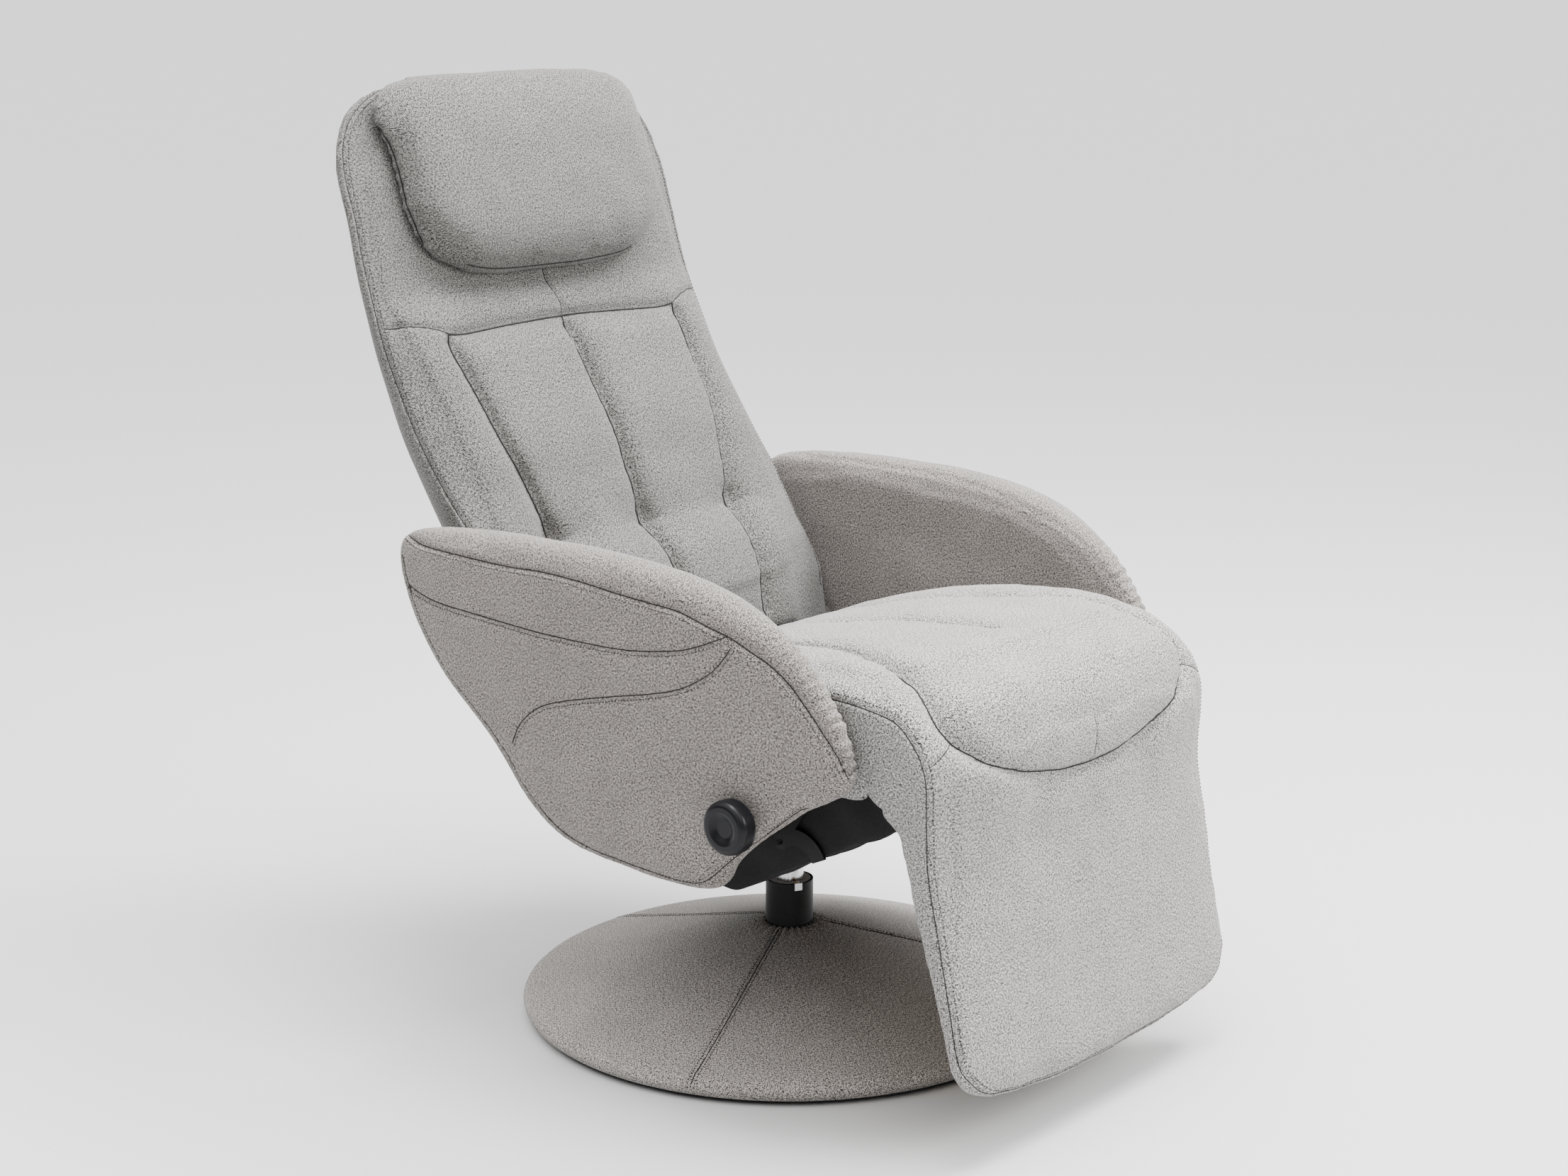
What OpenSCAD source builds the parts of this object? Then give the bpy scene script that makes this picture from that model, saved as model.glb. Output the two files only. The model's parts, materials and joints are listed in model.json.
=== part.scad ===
// Swivel recliner on a round, fabric-covered base.
// The column stands on the origin, the sitter looks towards -Y, and Z is up.
// The pose is the upright one: the back leans, the footrest hangs.

/* [Base] */
// Diameter over the covered base
base_d = 606; // [560:2:680]
// Height of the base's rounded rim above the floor
base_rim_h = 30; // [26:1:34]
// Rise of the base from its rim to the column
base_rise = 68; // [50:1:80]
// Thickness of the base's cloth cover
base_cloth_t = 3; // [2:0.5:5]
// Thickness of the pressed dome under the cloth
base_core_t = 5; // [3:0.5:8]
// Thickness of the steel base plate
base_plate_t = 4; // [3:0.5:8]
// Height of the black glide ring
ring_h = 5; // [4:0.5:8]

/* [Column] */
// Outside diameter of the column tube
column_d = 54; // [48:1:64]
// Wall of the column tube
column_wall = 3; // [2:0.5:5]
// Height of the column's top above the floor
column_top = 149; // [130:1:170]
// Diameter of the steel post that turns in the column
post_d = 32; // [26:1:36]
// Diameter of the flange at the column's foot
flange_d = 150; // [130:1:180]
// Height of the mounting plate's underside above the floor
plate_z = 214; // [212:1:216]
// Side of the square mounting plate
plate_w = 190; // [170:2:220]

/* [Chassis] */
// How far the side rails stand in from the seat's sides
rail_inset = 56; // [54:1:58]
// Thickness of the side rails
rail_t = 5; // [4:0.5:6]
// Side of the square cross tubes
cross_w = 30; // [26:1:32]
// Distance of each cross tube from the column's axis
cross_y = 60; // [55:1:66]
// Tilt of the seat board, lower at the rear
seat_tilt = 5; // [3:0.5:6]
// Thickness of the seat board
board_t = 12; // [9:1:15]
// Diameter of the hinge axles
axle_d = 16; // [12:1:18]

/* [Motion] */
// Height of the back's hinge above the floor
back_hinge_z = 362; // [358:1:366]
// Distance of the back's hinge behind the column
back_hinge_y = 165; // [160:1:170]
// Height of the footrest's hinge above the floor
foot_hinge_z = 385; // [381:1:388]
// Distance of the footrest's hinge in front of the column
foot_hinge_y = 330; // [325:1:335]
// How far the back leans from its upright stop
back_travel = 35; // [25:1:38]
// How far the footrest swings up
foot_travel = 80; // [60:1:82]
// Length of the crank below the back's hinge
crank_len = 72; // [64:1:76]

/* [Seat] */
// Width of the seat's front and of the footrest
seat_w = 492; // [484:1:500]
// Height of the seat's crown above the floor
seat_crown = 489; // [480:1:500]
// Drop from the seat's crown to its side seams
seat_drop = 26; // [15:1:35]
// Depth of the seat's sewn seams
seam_depth = 12; // [6:1:18]
// Distance of the cushion's rear end behind the column
seat_rear = 118; // [110:1:122]

/* [Footrest] */
// Height of the hanging footrest's lower edge above the floor
foot_low = 52; // [40:1:80]
// Swell of the footrest's face over its side seams, at the top
foot_swell = 27; // [15:1:35]

/* [Back] */
// Width of the back
back_w = 520; // [500:2:530]
// Height of the back's lower edge above the floor
back_low = 385; // [382:1:390]
// Height of the back's top above the floor
back_top = 1026; // [1000:1:1050]
// How far the back leans rearwards over that height
back_reach = 310; // [280:1:330]
// Swell of the lower back over its side seams
back_swell = 46; // [36:1:52]
// Width of the head cushion
head_w = 402; // [380:2:420]
// Thickness of the head cushion
head_t = 44; // [30:1:55]

/* [Arms] */
// Length of an arm, front to rear
arm_len = 610; // [600:2:620]
// Distance of an arm's front end in front of the column
arm_reach = 312; // [308:1:316]
// Height of an arm, lowest to highest point
arm_h = 340; // [330:1:350]
// Height of an arm's lowest point above the floor
arm_low = 241; // [238:1:244]
// Thickness of an arm's pad
arm_t = 60; // [50:1:66]
// How far the middle of an arm stands out from the seat's side, at the rear
arm_stand = 55; // [53:1:60]

/* [Hand wheels] */
// Diameter of a hand wheel
wheel_d = 56; // [48:1:60]
// Thickness of a hand wheel
wheel_t = 24; // [20:1:30]
// Diameter of the clamping bolt
clamp_d = 8; // [6:1:10]
// Height of the clamping bolt above the floor
clamp_z = 330; // [328:1:331]
// Distance of the clamping bolt in front of the column
clamp_y = 198; // [194:1:202]

/* [Hidden] */

// Facets on turned shapes and on small holes
$fn = 72;
fine = 32;
// Overrun of a cut past the face it cuts
over = 1;
// Radial clearance of a running fit
run = 0.06;
// Clearance of parts that only pass each other
clear = 0.3;
// Looser clearance round a bolt or a tube that goes through cloth
pass = 1;

cloth = "#b9b6b1";
steel = "#c9ccd0";
black = "#26262a";
wood = "#c8a878";

function mix(a, b, t) = a + (b - a) * t;
// A ramp that is 0 below zero and u above it, rounded over a length b
function soft(u, b) = (u + sqrt(u * u + b * b)) / 2;
// Smooth curve through points; t runs from 0 to one less than their number
function curve(p, t) = let(
    n = len(p),
    i = max(0, min(floor(t), n - 2)),
    f = t - i,
    a = p[max(i - 1, 0)], b = p[i], c = p[i + 1], d = p[min(i + 2, n - 1)])
    0.5 * (2 * b + (c - a) * f + (2 * a - 5 * b + 4 * c - d) * f * f
        + (3 * b - a - 3 * c + d) * f * f * f);
// The same through a closed ring of points
function ring_curve(p, t) = let(
    n = len(p),
    i = floor(t),
    f = t - i,
    a = p[(i - 1 + n) % n], b = p[i % n], c = p[(i + 1) % n], d = p[(i + 2) % n])
    0.5 * (2 * b + (c - a) * f + (2 * a - 5 * b + 4 * c - d) * f * f
        + (3 * b - a - 3 * c + d) * f * f * f);
function mean(p) = [for (k = [0:2]) [for (q = p) q[k]] * [for (q = p) 1] / len(p)];

// Skin over rings of points, closed at both ends by fans, or by bands where a ring is a strip
// that runs out and back; turn reverses its faces
module skin(rings, turn = false, strip = false) {
    n = len(rings[0]);
    m = len(rings);
    last = (m - 1) * n;
    points = concat([for (r = rings) for (p = r) p], strip ? [] : [mean(rings[0]), mean(rings[m - 1])]);
    sides = [for (k = [0:m - 2]) for (i = [0:n - 1]) let(j = (i + 1) % n)
        each [[k * n + i, (k + 1) * n + j, k * n + j], [k * n + i, (k + 1) * n + i, (k + 1) * n + j]]];
    fans = [for (i = [0:n - 1]) let(j = (i + 1) % n) each [[i, j, m * n], [last + j, last + i, m * n + 1]]];
    bands = [for (i = [0:n / 2 - 2]) let(j = n - 1 - i) each [[i, i + 1, j], [i + 1, j - 1, j],
        [last + i + 1, last + i, last + j], [last + j - 1, last + i + 1, last + j]]];
    faces = concat(sides, strip ? bands : fans);
    polyhedron(points, turn ? [for (f = faces) [f[0], f[2], f[1]]] : faces);
}

// Lays a drawing of (Y, Z) in the plane X = x, with a thickness towards +X
module in_yz(x, t) {
    translate([x, 0, 0]) rotate([90, 0, 90]) linear_extrude(t) children();
}

// A cylinder along X from x0 to x1 about the point (y, z)
module along_x(x0, x1, y, z, r, sides = fine) {
    translate([x0, y, z]) rotate([0, 90, 0]) cylinder(r = r, h = x1 - x0, $fn = sides);
}

// The same piece on the other side of the middle plane
module other_side() {
    mirror([1, 0, 0]) children();
}

// Heights in the base, from the floor up
plate_top = ring_h + base_plate_t;
flange_t = base_core_t;
flange_top = plate_top + flange_t;
column_r = column_d / 2;
post_r = post_d / 2;
bore_r = column_r - column_wall;
base_r = base_d / 2;
rim_a = base_d * 0.04;
rim_b = (base_rim_h - ring_h) * 0.48;
neck_r = column_r + clear;
thrust_t = base_core_t;

// Outline of the base's skin at a depth d below its outer face, from the neck to the rim
function base_line(d) = let(
    rim_x = base_r - rim_a,
    rim_z = base_rim_h - rim_b,
    slope_end = 76,
    knee = rim_x + rim_a * cos(slope_end))
    concat(
        [for (i = [0:8]) let(t = i / 8)
            [mix(neck_r, knee, t),
                base_rim_h + base_rise * pow(1 - t, 1.06) - d - (1 - sin(slope_end)) * rim_b]],
        [for (a = [slope_end - 19:-19:0])
            [rim_x + (rim_a - d) * cos(a), rim_z + (rim_b - d * 0.9) * sin(a)]],
        [[base_r - d - (base_rim_h - ring_h) * 0.12, ring_h + rim_b * 0.4]]);

module base_skin(d0, d1, low) {
    outer = base_line(d0);
    inner = base_line(d1);
    n = len(outer);
    rotate_extrude($fn = 96)
        polygon(concat(outer, [[outer[n - 1][0], low], [inner[n - 1][0], low]],
            [for (i = [n - 1:-1:0]) inner[i]]));
}

module glide_ring() {
    ring_w = 14;
    color(black)
        rotate_extrude($fn = 96)
            translate([base_r - base_cloth_t * 6 - ring_w, 0]) square([ring_w, ring_h]);
}

plate_r = base_line(base_cloth_t)[len(base_line(0)) - 1][0] - clear;
bolt_r = 4;
bolt_circle = flange_d * 0.74;
bolt_head_h = 4.5;
bolt_head_r = 7.5;
bolt_angles = [45, 135, 225, 315];

module bolt_ring() {
    for (a = bolt_angles) rotate(a) translate([bolt_circle / 2, 0, 0]) children();
}

module base_plate() {
    color(black)
        difference() {
            translate([0, 0, ring_h]) cylinder(r = plate_r, h = base_plate_t, $fn = 96);
            bolt_ring() translate([0, 0, -over]) cylinder(r = bolt_r + clear, h = flange_top, $fn = fine);
        }
}

module base_core() {
    color("#8f8d89") base_skin(base_cloth_t, base_cloth_t + base_core_t, plate_top);
}

module base_cover() {
    color(cloth) base_skin(0, base_cloth_t, ring_h);
}

module column() {
    color(black)
        difference() {
            union() {
                translate([0, 0, plate_top]) cylinder(r = column_r, h = column_top - plate_top);
                translate([0, 0, plate_top]) cylinder(d = flange_d, h = flange_t);
            }
            translate([0, 0, plate_top - over])
                cylinder(r = bore_r, h = column_top - plate_top + 2 * over);
            bolt_ring() translate([0, 0, plate_top - over])
                cylinder(r = bolt_r + clear, h = flange_t + 2 * over, $fn = fine);
        }
}

bush_h = 38;
bush_low = plate_top + thrust_t + bush_h / 2;

module column_bushes() {
    color("#e2e0da")
        for (z = [bush_low, column_top - bush_h])
            translate([0, 0, z]) difference() {
                cylinder(r = bore_r - run / 2, h = bush_h);
                translate([0, 0, -over]) cylinder(r = post_r + run, h = bush_h + 2 * over);
            }
}

module thrust_disc() {
    color("#e2e0da")
        translate([0, 0, plate_top]) cylinder(r = bore_r - clear, h = thrust_t);
}

// A small steel clip that keeps the upper bush down
module bush_clip() {
    clip_w = 9;
    clip_t = 1.2;
    clip_drop = 7;
    clip_in = (bore_r - post_r) * 0.7;
    color(steel)
        rotate(-118) translate([0, -clip_w / 2, 0]) difference() {
            translate([bore_r - clip_in, 0, column_top - clip_drop])
                cube([clip_in + column_wall + clip_t, clip_w, clip_drop + clip_t]);
            translate([bore_r - clip_in - over, -over, column_top - clip_drop - over])
                cube([clip_in + column_wall + over, clip_w + 2 * over, clip_drop + over]);
        }
}

module flange_bolts() {
    color(steel)
        bolt_ring() {
            translate([0, 0, flange_top]) cylinder(r = bolt_head_r, h = bolt_head_h, $fn = 6);
            translate([0, 0, ring_h]) cylinder(r = bolt_r, h = flange_top - ring_h, $fn = fine);
        }
}

// The post stands on the thrust disc and carries the mounting plate
module post() {
    color(steel)
        translate([0, 0, plate_top + thrust_t + clear])
            cylinder(r = post_r, h = plate_z - plate_top - thrust_t - clear);
}

mount_t = 6;
plate_top_z = plate_z + mount_t;
plate_bolt_x = plate_w / 2 - 5 * bolt_r;
cross_wall = 2;

module plate_bolt_places() {
    for (x = [-plate_bolt_x, plate_bolt_x]) for (y = [-cross_y, cross_y]) translate([x, y, 0]) children();
}

module mounting_plate() {
    color(black)
        difference() {
            translate([-plate_w / 2, -plate_w / 2, plate_z]) cube([plate_w, plate_w, mount_t]);
            plate_bolt_places() translate([0, 0, plate_z - over])
                cylinder(r = bolt_r + clear, h = mount_t + 2 * over, $fn = fine);
        }
}

// The back is this much wider than the seat's front. The rails keep inside the narrower of the
// two, and the arms outside the wider
back_over = 28;
rail_span = min(seat_w, back_w - back_over) - 2 * rail_inset;
arm_span = max(seat_w, back_w - back_over) + 2 * arm_stand;

// Side rails, seen from the side: the plate between the two hinges
rail_in = rail_span / 2 - rail_t;
rail_out = rail_span / 2;
hub_wall = 6;
foot_hub_wall = 4;
hub_r = axle_d / 2 + hub_wall;
foot_hub_r = axle_d / 2 + foot_hub_wall;
foot_y = -foot_hinge_y;
foot_z = foot_hinge_z;
back_y = back_hinge_y;
back_z = back_hinge_z;
// The cushion's underside: how far below the hinge it starts, and how far behind it
seat_sink = 14;
seat_start = 26;
seat_front_z = foot_z - seat_sink;
function seat_under(y) = seat_front_z - tan(seat_tilt) * (y - foot_y - seat_start);
cross_top = plate_top_z + cross_w;

module cross_tubes() {
    color(black)
        for (y = [-cross_y, cross_y]) difference() {
            translate([-rail_in, y - cross_w / 2, plate_top_z]) cube([2 * rail_in, cross_w, cross_w]);
            translate([-rail_in - over, y - cross_w / 2 + cross_wall, plate_top_z + cross_wall])
                cube([2 * (rail_in + over), cross_w - 2 * cross_wall, cross_w - 2 * cross_wall]);
            for (x = [-plate_bolt_x, plate_bolt_x]) translate([x, y, plate_top_z - over])
                cylinder(r = bolt_r + clear, h = cross_wall + 2 * over, $fn = fine);
        }
}

module plate_bolts() {
    nut_h = 6;
    color(steel)
        plate_bolt_places() {
            translate([0, 0, plate_z - bolt_head_h])
                cylinder(r = bolt_head_r, h = bolt_head_h, $fn = 6);
            translate([0, 0, plate_z])
                cylinder(r = bolt_r, h = mount_t + cross_wall, $fn = fine);
            translate([0, 0, plate_top_z + cross_wall]) cylinder(r = bolt_head_r, h = nut_h, $fn = 6);
        }
}

// Where the two arm bolts go through a rail, as (Y, Z)
arm_bolt_rise = 55;
arm_bolt_shift = 20;
arm_bolt_z = cross_top + arm_bolt_rise;
arm_bolt_at = [[-cross_y - arm_bolt_shift, arm_bolt_z], [cross_y - arm_bolt_shift, arm_bolt_z]];
board_inset = 52;
board_front = foot_y + board_inset;
board_rear = seat_rear - over;

// How far the rails' lower edge stays above the mounting plate's underside
rail_lift = 2;

module rail_shape() {
    top = seat_under(board_front) - board_t;
    end = seat_under(board_rear) - board_t;
    web_top = seat_under(board_front) - clear * 4;
    difference() {
        union() {
            translate([foot_y, foot_z]) circle(r = foot_hub_r);
            translate([back_y, back_z]) circle(r = hub_r);
            polygon([[foot_y - foot_hub_r, foot_z], [foot_y + foot_hub_r, foot_z],
                [foot_y + foot_hub_r, web_top], [board_front - over, web_top],
                [board_front - over, top - clear], [board_rear, end - clear],
                [back_y - hub_r, back_z], [back_y + hub_r, back_z],
                [back_y + hub_r, back_z - hub_r], [cross_y + cross_w * 1.6, plate_z + rail_lift],
                [-cross_y - cross_w / 2, plate_z + rail_lift], [-cross_y - cross_w, plate_z + cross_w * 0.7],
                [foot_y - foot_hub_r, foot_z - 3 * foot_hub_r]]);
        }
        translate([foot_y, foot_z]) circle(r = axle_d / 2);
        translate([back_y, back_z]) circle(r = axle_d / 2);
        translate([-clamp_y, clamp_z]) circle(r = clamp_d / 2 + clear, $fn = fine);
        for (p = arm_bolt_at) translate(p) circle(r = bolt_r + clear, $fn = fine);
    }
}

module side_rail_right() {
    color(black) in_yz(-rail_out, rail_t) rail_shape();
}

module side_rail_left() {
    color(black) in_yz(rail_in, rail_t) rail_shape();
}

cap_t = 4;
cap_wall = 3;
cap_r = axle_d / 2 + cap_wall;

module back_axle() {
    color(steel) along_x(-rail_out, rail_out, back_y, back_z, axle_d / 2, $fn);
}

module foot_axle() {
    color(steel) along_x(-rail_out, rail_out, foot_y, foot_z, axle_d / 2, $fn);
}

module axle_caps() {
    color(black)
        for (s = [0, 1]) mirror([s, 0, 0]) {
            along_x(rail_out, rail_out + cap_t, back_y, back_z, cap_r);
            along_x(rail_out, rail_out + cap_t, foot_y, foot_z, cap_r);
        }
}

// Arms in plan: the middle of the pad at a place y, and half of its thickness there
arm_front = -arm_reach;
arm_curl = 0.125;
arm_curl_at = 30;
arm_blend = 50;
function arm_mid(y) = arm_span / 2 - arm_curl * soft(-arm_curl_at - y, arm_blend);
arm_thick_shares = [[0, 0.47], [0.074, 0.6], [0.116, 0.74], [0.174, 0.86], [0.24, 0.965], [0.323, 1],
    [0.638, 1], [0.76, 0.97], [0.884, 0.77], [0.94, 0.64], [1, 0.5]];
function arm_half(y) = arm_t / 2 * lookup((y - arm_front) / arm_len, arm_thick_shares);
function arm_inside(y) = arm_mid(y) - arm_half(y);
arm_gap = 3;

// Outline of an arm from the side, as shares of its length and height
arm_outline_shares = [[0.905, 0.971], [0.761, 0.994], [0.61, 1], [0.462, 0.994], [0.331, 0.968],
    [0.233, 0.921],
    [0.159, 0.853], [0.097, 0.768], [0.046, 0.662], [0.013, 0.556], [0, 0.45], [0.016, 0.376],
    [0.084, 0.312], [0.136, 0.241], [0.197, 0.153], [0.236, 0.079], [0.252, 0.018], [0.311, 0],
    [0.421, 0.012], [0.544, 0.038], [0.626, 0.094], [0.69, 0.191], [0.754, 0.318],
    [0.805, 0.385], [0.872, 0.479], [0.933, 0.588], [0.975, 0.709], [0.998, 0.835],
    [0.984, 0.929]];
arm_steps = 2;
function arm_edge(t) = let(p = ring_curve(arm_outline_shares, t))
    [arm_front + p[0] * arm_len, arm_low + p[1] * arm_h];
// The outline drawn in by d, at a place t along it
function arm_inset(t, d) = let(
    e = 0.05,
    n = len(arm_outline_shares),
    a = arm_edge((t - e + n) % n),
    b = arm_edge((t + e) % n),
    u = (b - a) / norm(b - a))
    arm_edge(t) + d * [-u[1], u[0]];

module arm_pad_shape() {
    count = len(arm_outline_shares) * arm_steps;
    middle = [arm_front + arm_len * 0.5, arm_low + arm_h * 0.55];
    rounds = [for (a = [-90:30:90]) [1 - cos(a), sin(a)]];
    edge = [for (r = rounds) [for (i = [0:count - 1]) let(
        t = i / arm_steps,
        h = arm_half(arm_edge(t)[0]),
        p = arm_inset(t, h * r[0]))
        [arm_mid(p[0]) + h * r[1], p[0], p[1]]]];
    face = function(s, ring) [for (p = ring) let(
        y = mix(p[1], middle[0], 0.5),
        z = mix(p[2], middle[1], 0.5))
        [arm_mid(y) + s * arm_half(y), y, z]];
    skin(concat([face(-1, edge[0])], edge, [face(1.1, edge[len(edge) - 1])]));
}

arm_board_t = 15;
arm_board_side = 20;
arm_board_under = 25;
arm_board_over = 55;
arm_board_y = [arm_bolt_at[0][0] - arm_board_side, arm_bolt_at[1][0] + arm_board_side];
arm_board_z = [arm_bolt_z - arm_board_under, arm_bolt_z + arm_board_over];

// The board let into an arm's inner face, which the bolts hold
module arm_board_block(t, out = 0) {
    d = arm_board_y[1] - arm_board_y[0];
    turn = atan((arm_inside(arm_board_y[1]) - arm_inside(arm_board_y[0])) / d);
    translate([arm_inside(arm_board_y[0]), arm_board_y[0], arm_board_z[0]]) rotate([0, 0, -turn])
        translate([-out, 0, 0]) cube([t + out, d, arm_board_z[1] - arm_board_z[0]]);
}

module arm_bolt_bores(r) {
    for (p = arm_bolt_at) along_x(0, arm_span * 0.7, p[0], p[1], r);
}

sleeve_wall = 4;
sleeve_r = clamp_d / 2 + sleeve_wall;

module arm_pad_left() {
    color(cloth)
        difference() {
            arm_pad_shape();
            arm_board_block(arm_board_t + clear, arm_board_t);
            along_x(0, arm_span * 0.7, -clamp_y, clamp_z, sleeve_r + pass);
        }
}

module arm_pad_right() {
    other_side() arm_pad_left();
}

module arm_board_left() {
    color(wood)
        difference() {
            arm_board_block(arm_board_t);
            arm_bolt_bores(bolt_r);
        }
}

module arm_board_right() {
    other_side() arm_board_left();
}

spacer_wall = 5;
spacer_r = bolt_r + spacer_wall;

module arm_spacers() {
    color(steel)
        for (s = [0, 1]) mirror([s, 0, 0])
            difference() {
                for (p = arm_bolt_at) along_x(rail_out, arm_inside(p[0]) + spacer_r, p[0], p[1], spacer_r);
                arm_board_block(arm_board_t * 2);
                arm_bolt_bores(bolt_r + clear);
            }
}

module arm_bolts() {
    color(steel)
        for (s = [0, 1]) mirror([s, 0, 0])
            for (p = arm_bolt_at) {
                along_x(rail_in - bolt_head_h, rail_in, p[0], p[1], bolt_head_r, 6);
                along_x(rail_in, arm_inside(p[0]) + arm_board_t * 0.8, p[0], p[1], bolt_r);
            }
}

// The seat board, tilted under the cushion
module seat_board() {
    w = seat_w / 2 - arm_gap * 2;
    color(wood)
        in_yz(-w, 2 * w)
            polygon([[board_front, seat_under(board_front)], [board_rear, seat_under(board_rear)],
                [board_rear, seat_under(board_rear) - board_t],
                [board_front, seat_under(board_front) - board_t]]);
}

// Seat cushion: crown height along the seat, front to rear, as shares of the cushion's thickness
seat_len = seat_rear - foot_y;
seat_rise = seat_crown - seat_front_z;
seat_crown_shares = [[0, 0.958], [0.07, 0.985], [0.13, 1], [0.21, 0.992], [0.35, 0.94],
    [0.5, 0.845], [0.625, 0.735], [0.725, 0.63], [0.83, 0.475], [0.93, 0.34], [1, 0.2]];
function seat_top(y) = seat_front_z + seat_rise * lookup((y - foot_y) / seat_len, seat_crown_shares);
// The cushion widens from here rearwards, between the arms
seat_flare_at = 240;
seat_flare_soft = 20;
function seat_half(y) =
    min(seat_w / 2 + soft(y + seat_flare_at, seat_flare_soft) / 2, arm_inside(y) - arm_gap);
// Where the sewn seam runs, as a share of the seat's width: it spreads to the front
seat_seam_shares = [[0, 0.386], [0.03, 0.376], [0.14, 0.352], [0.28, 0.305], [0.38, 0.293],
    [0.6, 0.264], [1, 0.25]];
function seat_seam(y) = seat_w * lookup((y - foot_y) / seat_len, seat_seam_shares);
// Columns of a ring: shares of the way to the seam, then from the seam to the side
to_seam_shares = [0, 0.1, 0.5, 0.9, 1];
to_side_shares = [0.2, 0.5, 0.8, 0.94, 1];
function half_columns(seam, half) = concat([for (s = to_seam_shares) s * seam],
    [for (s = to_side_shares) mix(seam, half, s)]);
function mirrored(v) = concat([for (i = [len(v) - 1:-1:1]) -v[i]], v);
function pillow(x, half, flat) = 1 - pow(min(1, abs(x) / half), flat);
// Drop from the crown to the side seam along the seat: the seam rises towards the arms
seat_drop_shares = [[0, 1.27], [0.07, 1.08], [0.13, 0.92], [0.3, 1], [1, 1]];
function seat_side(y) = seat_drop * lookup((y - foot_y) / seat_len, seat_drop_shares);
function groove(x, seam, width) = exp(-pow((abs(x) - seam) / width, 2));
groove_w = 13;
// Depth of the middle seam, which fades out towards the front
middle_start = 10;
middle_fade = 60;
function middle_seam(x, y) = seam_depth * groove(x, 0, groove_w)
    * min(1, max(0, (y - foot_y - middle_start) / middle_fade));
// Room for the hinge under the soft parts, and how far their hidden faces are drawn in
hinge_gap = 2;
hinge_room = foot_hub_r + hinge_gap;
tuck = 4;
function seat_floor(y) = max(seat_under(y), foot_z + hinge_room - max(0, y - foot_y - hinge_room) * 3);

function seat_ring(y) = let(
    half = seat_half(y),
    seam = seat_seam(y),
    xs = mirrored(half_columns(seam, half)),
    low = seat_floor(y))
    concat(
        [for (x = [-1, -0.5, 0, 0.5, 1]) [x * (half - tuck), y, low]],
        [[half - tuck / 2, y, mix(low, seat_top(y) - seat_side(y), 0.5)]],
        [for (i = [len(xs) - 1:-1:0]) let(x = xs[i])
            [x, y, seat_top(y) - seat_side(y) * (1 - pillow(x, half, 8))
                - seam_depth * groove(x, seam, groove_w) - middle_seam(x, y)]],
        [[-half + tuck / 2, y, mix(low, seat_top(y) - seat_side(y), 0.5)]]);

module seat_cushion() {
    front = foot_y + clear;
    stations = [for (s = [1, 0.985, 0.94, 0.86, 0.78, 0.7, 0.62, 0.54, 0.47, 0.41, 0.36, 0.31, 0.26,
        0.21, 0.17, 0.13, 0.1, 0.075, 0.052, 0.042, 0.031, 0.018, 0]) mix(front, seat_rear, s)];
    color(cloth) skin([for (y = stations) seat_ring(y)]);
}

// Radius of the front roll about the footrest's hinge, at its sides and in the middle,
// against the angle above the forward direction
roll_low = -16;
side_top = seat_top(foot_y) - seat_side(foot_y) - foot_z;
roll_side_shares = [[-16, 0.87], [0, 0.82], [17, 0.81], [40, 0.83], [57, 0.86], [71, 0.89], [90, 1]];
roll_swell_shares = [[-16, 1], [0, 1], [20, 1.2], [36, 1.41], [55, 1.52], [75, 1.32], [90, 1]];
roll_flat_shares = [[-16, 4], [36, 4], [90, 8]];
function roll_side(a) = side_top * lookup(a, roll_side_shares);
function roll_swell(a) =
    mix(foot_swell * lookup(a, roll_swell_shares), seat_side(foot_y), max(0, (a - 75) / 15));
// The seam that bounds the seat's panel leaves the roll's side and sweeps round at its foot
roll_seam_shares = [[-16, 0.17], [-5, 0.222], [9, 0.321], [23, 0.376], [37, 0.411], [57, 0.423],
    [75, 0.407], [90, 0.386]];
function roll_seam(a) = seat_w * lookup(a, roll_seam_shares);
function roll_foot(x, a) = abs(x) < roll_seam(a) ? exp(-pow((a - roll_low) / 5, 2)) : 0;
function roll_radius(x, a) = roll_side(a)
    + roll_swell(a) * pillow(x, seat_w / 2, lookup(a, roll_flat_shares))
    - seam_depth * max(groove(x, roll_seam(a), groove_w), roll_foot(x, a));

rear_column_shares = [1, 0.85, 0.83, -0.83, -0.85, -1];

function roll_ring(a, gap) = let(
    half = seat_w / 2,
    xs = mirrored(half_columns(roll_seam(a), half)),
    at = function(x, r) [x, foot_y - r * cos(a) - gap * sin(a), foot_z + r * sin(a) - gap * cos(a)])
    concat([for (x = xs) at(x, roll_radius(x, a))],
        [for (x = rear_column_shares) at(x * (half - tuck), hinge_room)]);

// The soft front edge between cushion and footrest, which folds as the footrest rises
module front_roll() {
    color(cloth)
        skin([for (a = [90, 78, 66, 54, 43, 33, 24, 15, 6, -3, -10, roll_low]) roll_ring(a, 0)], true);
}

// Footrest, hanging: its side seam and its rear face from the side, as shares of its drop
// below the hinge: (how far down, how far forward)
foot_drop = foot_z - foot_low;
foot_face_shares = [[0.1, 0.163], [0.25, 0.166], [0.36, 0.186], [0.49, 0.216], [0.67, 0.252],
    [0.83, 0.285], [0.94, 0.31], [1, 0.3]];
foot_rear_shares = [[0.03, 0.042], [0.19, 0.044], [0.97, 0.263], [1, 0.268]];
function foot_face(s) = foot_drop * lookup(s, foot_face_shares);
function foot_rear(s) = foot_drop * lookup(s, foot_rear_shares);
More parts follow.
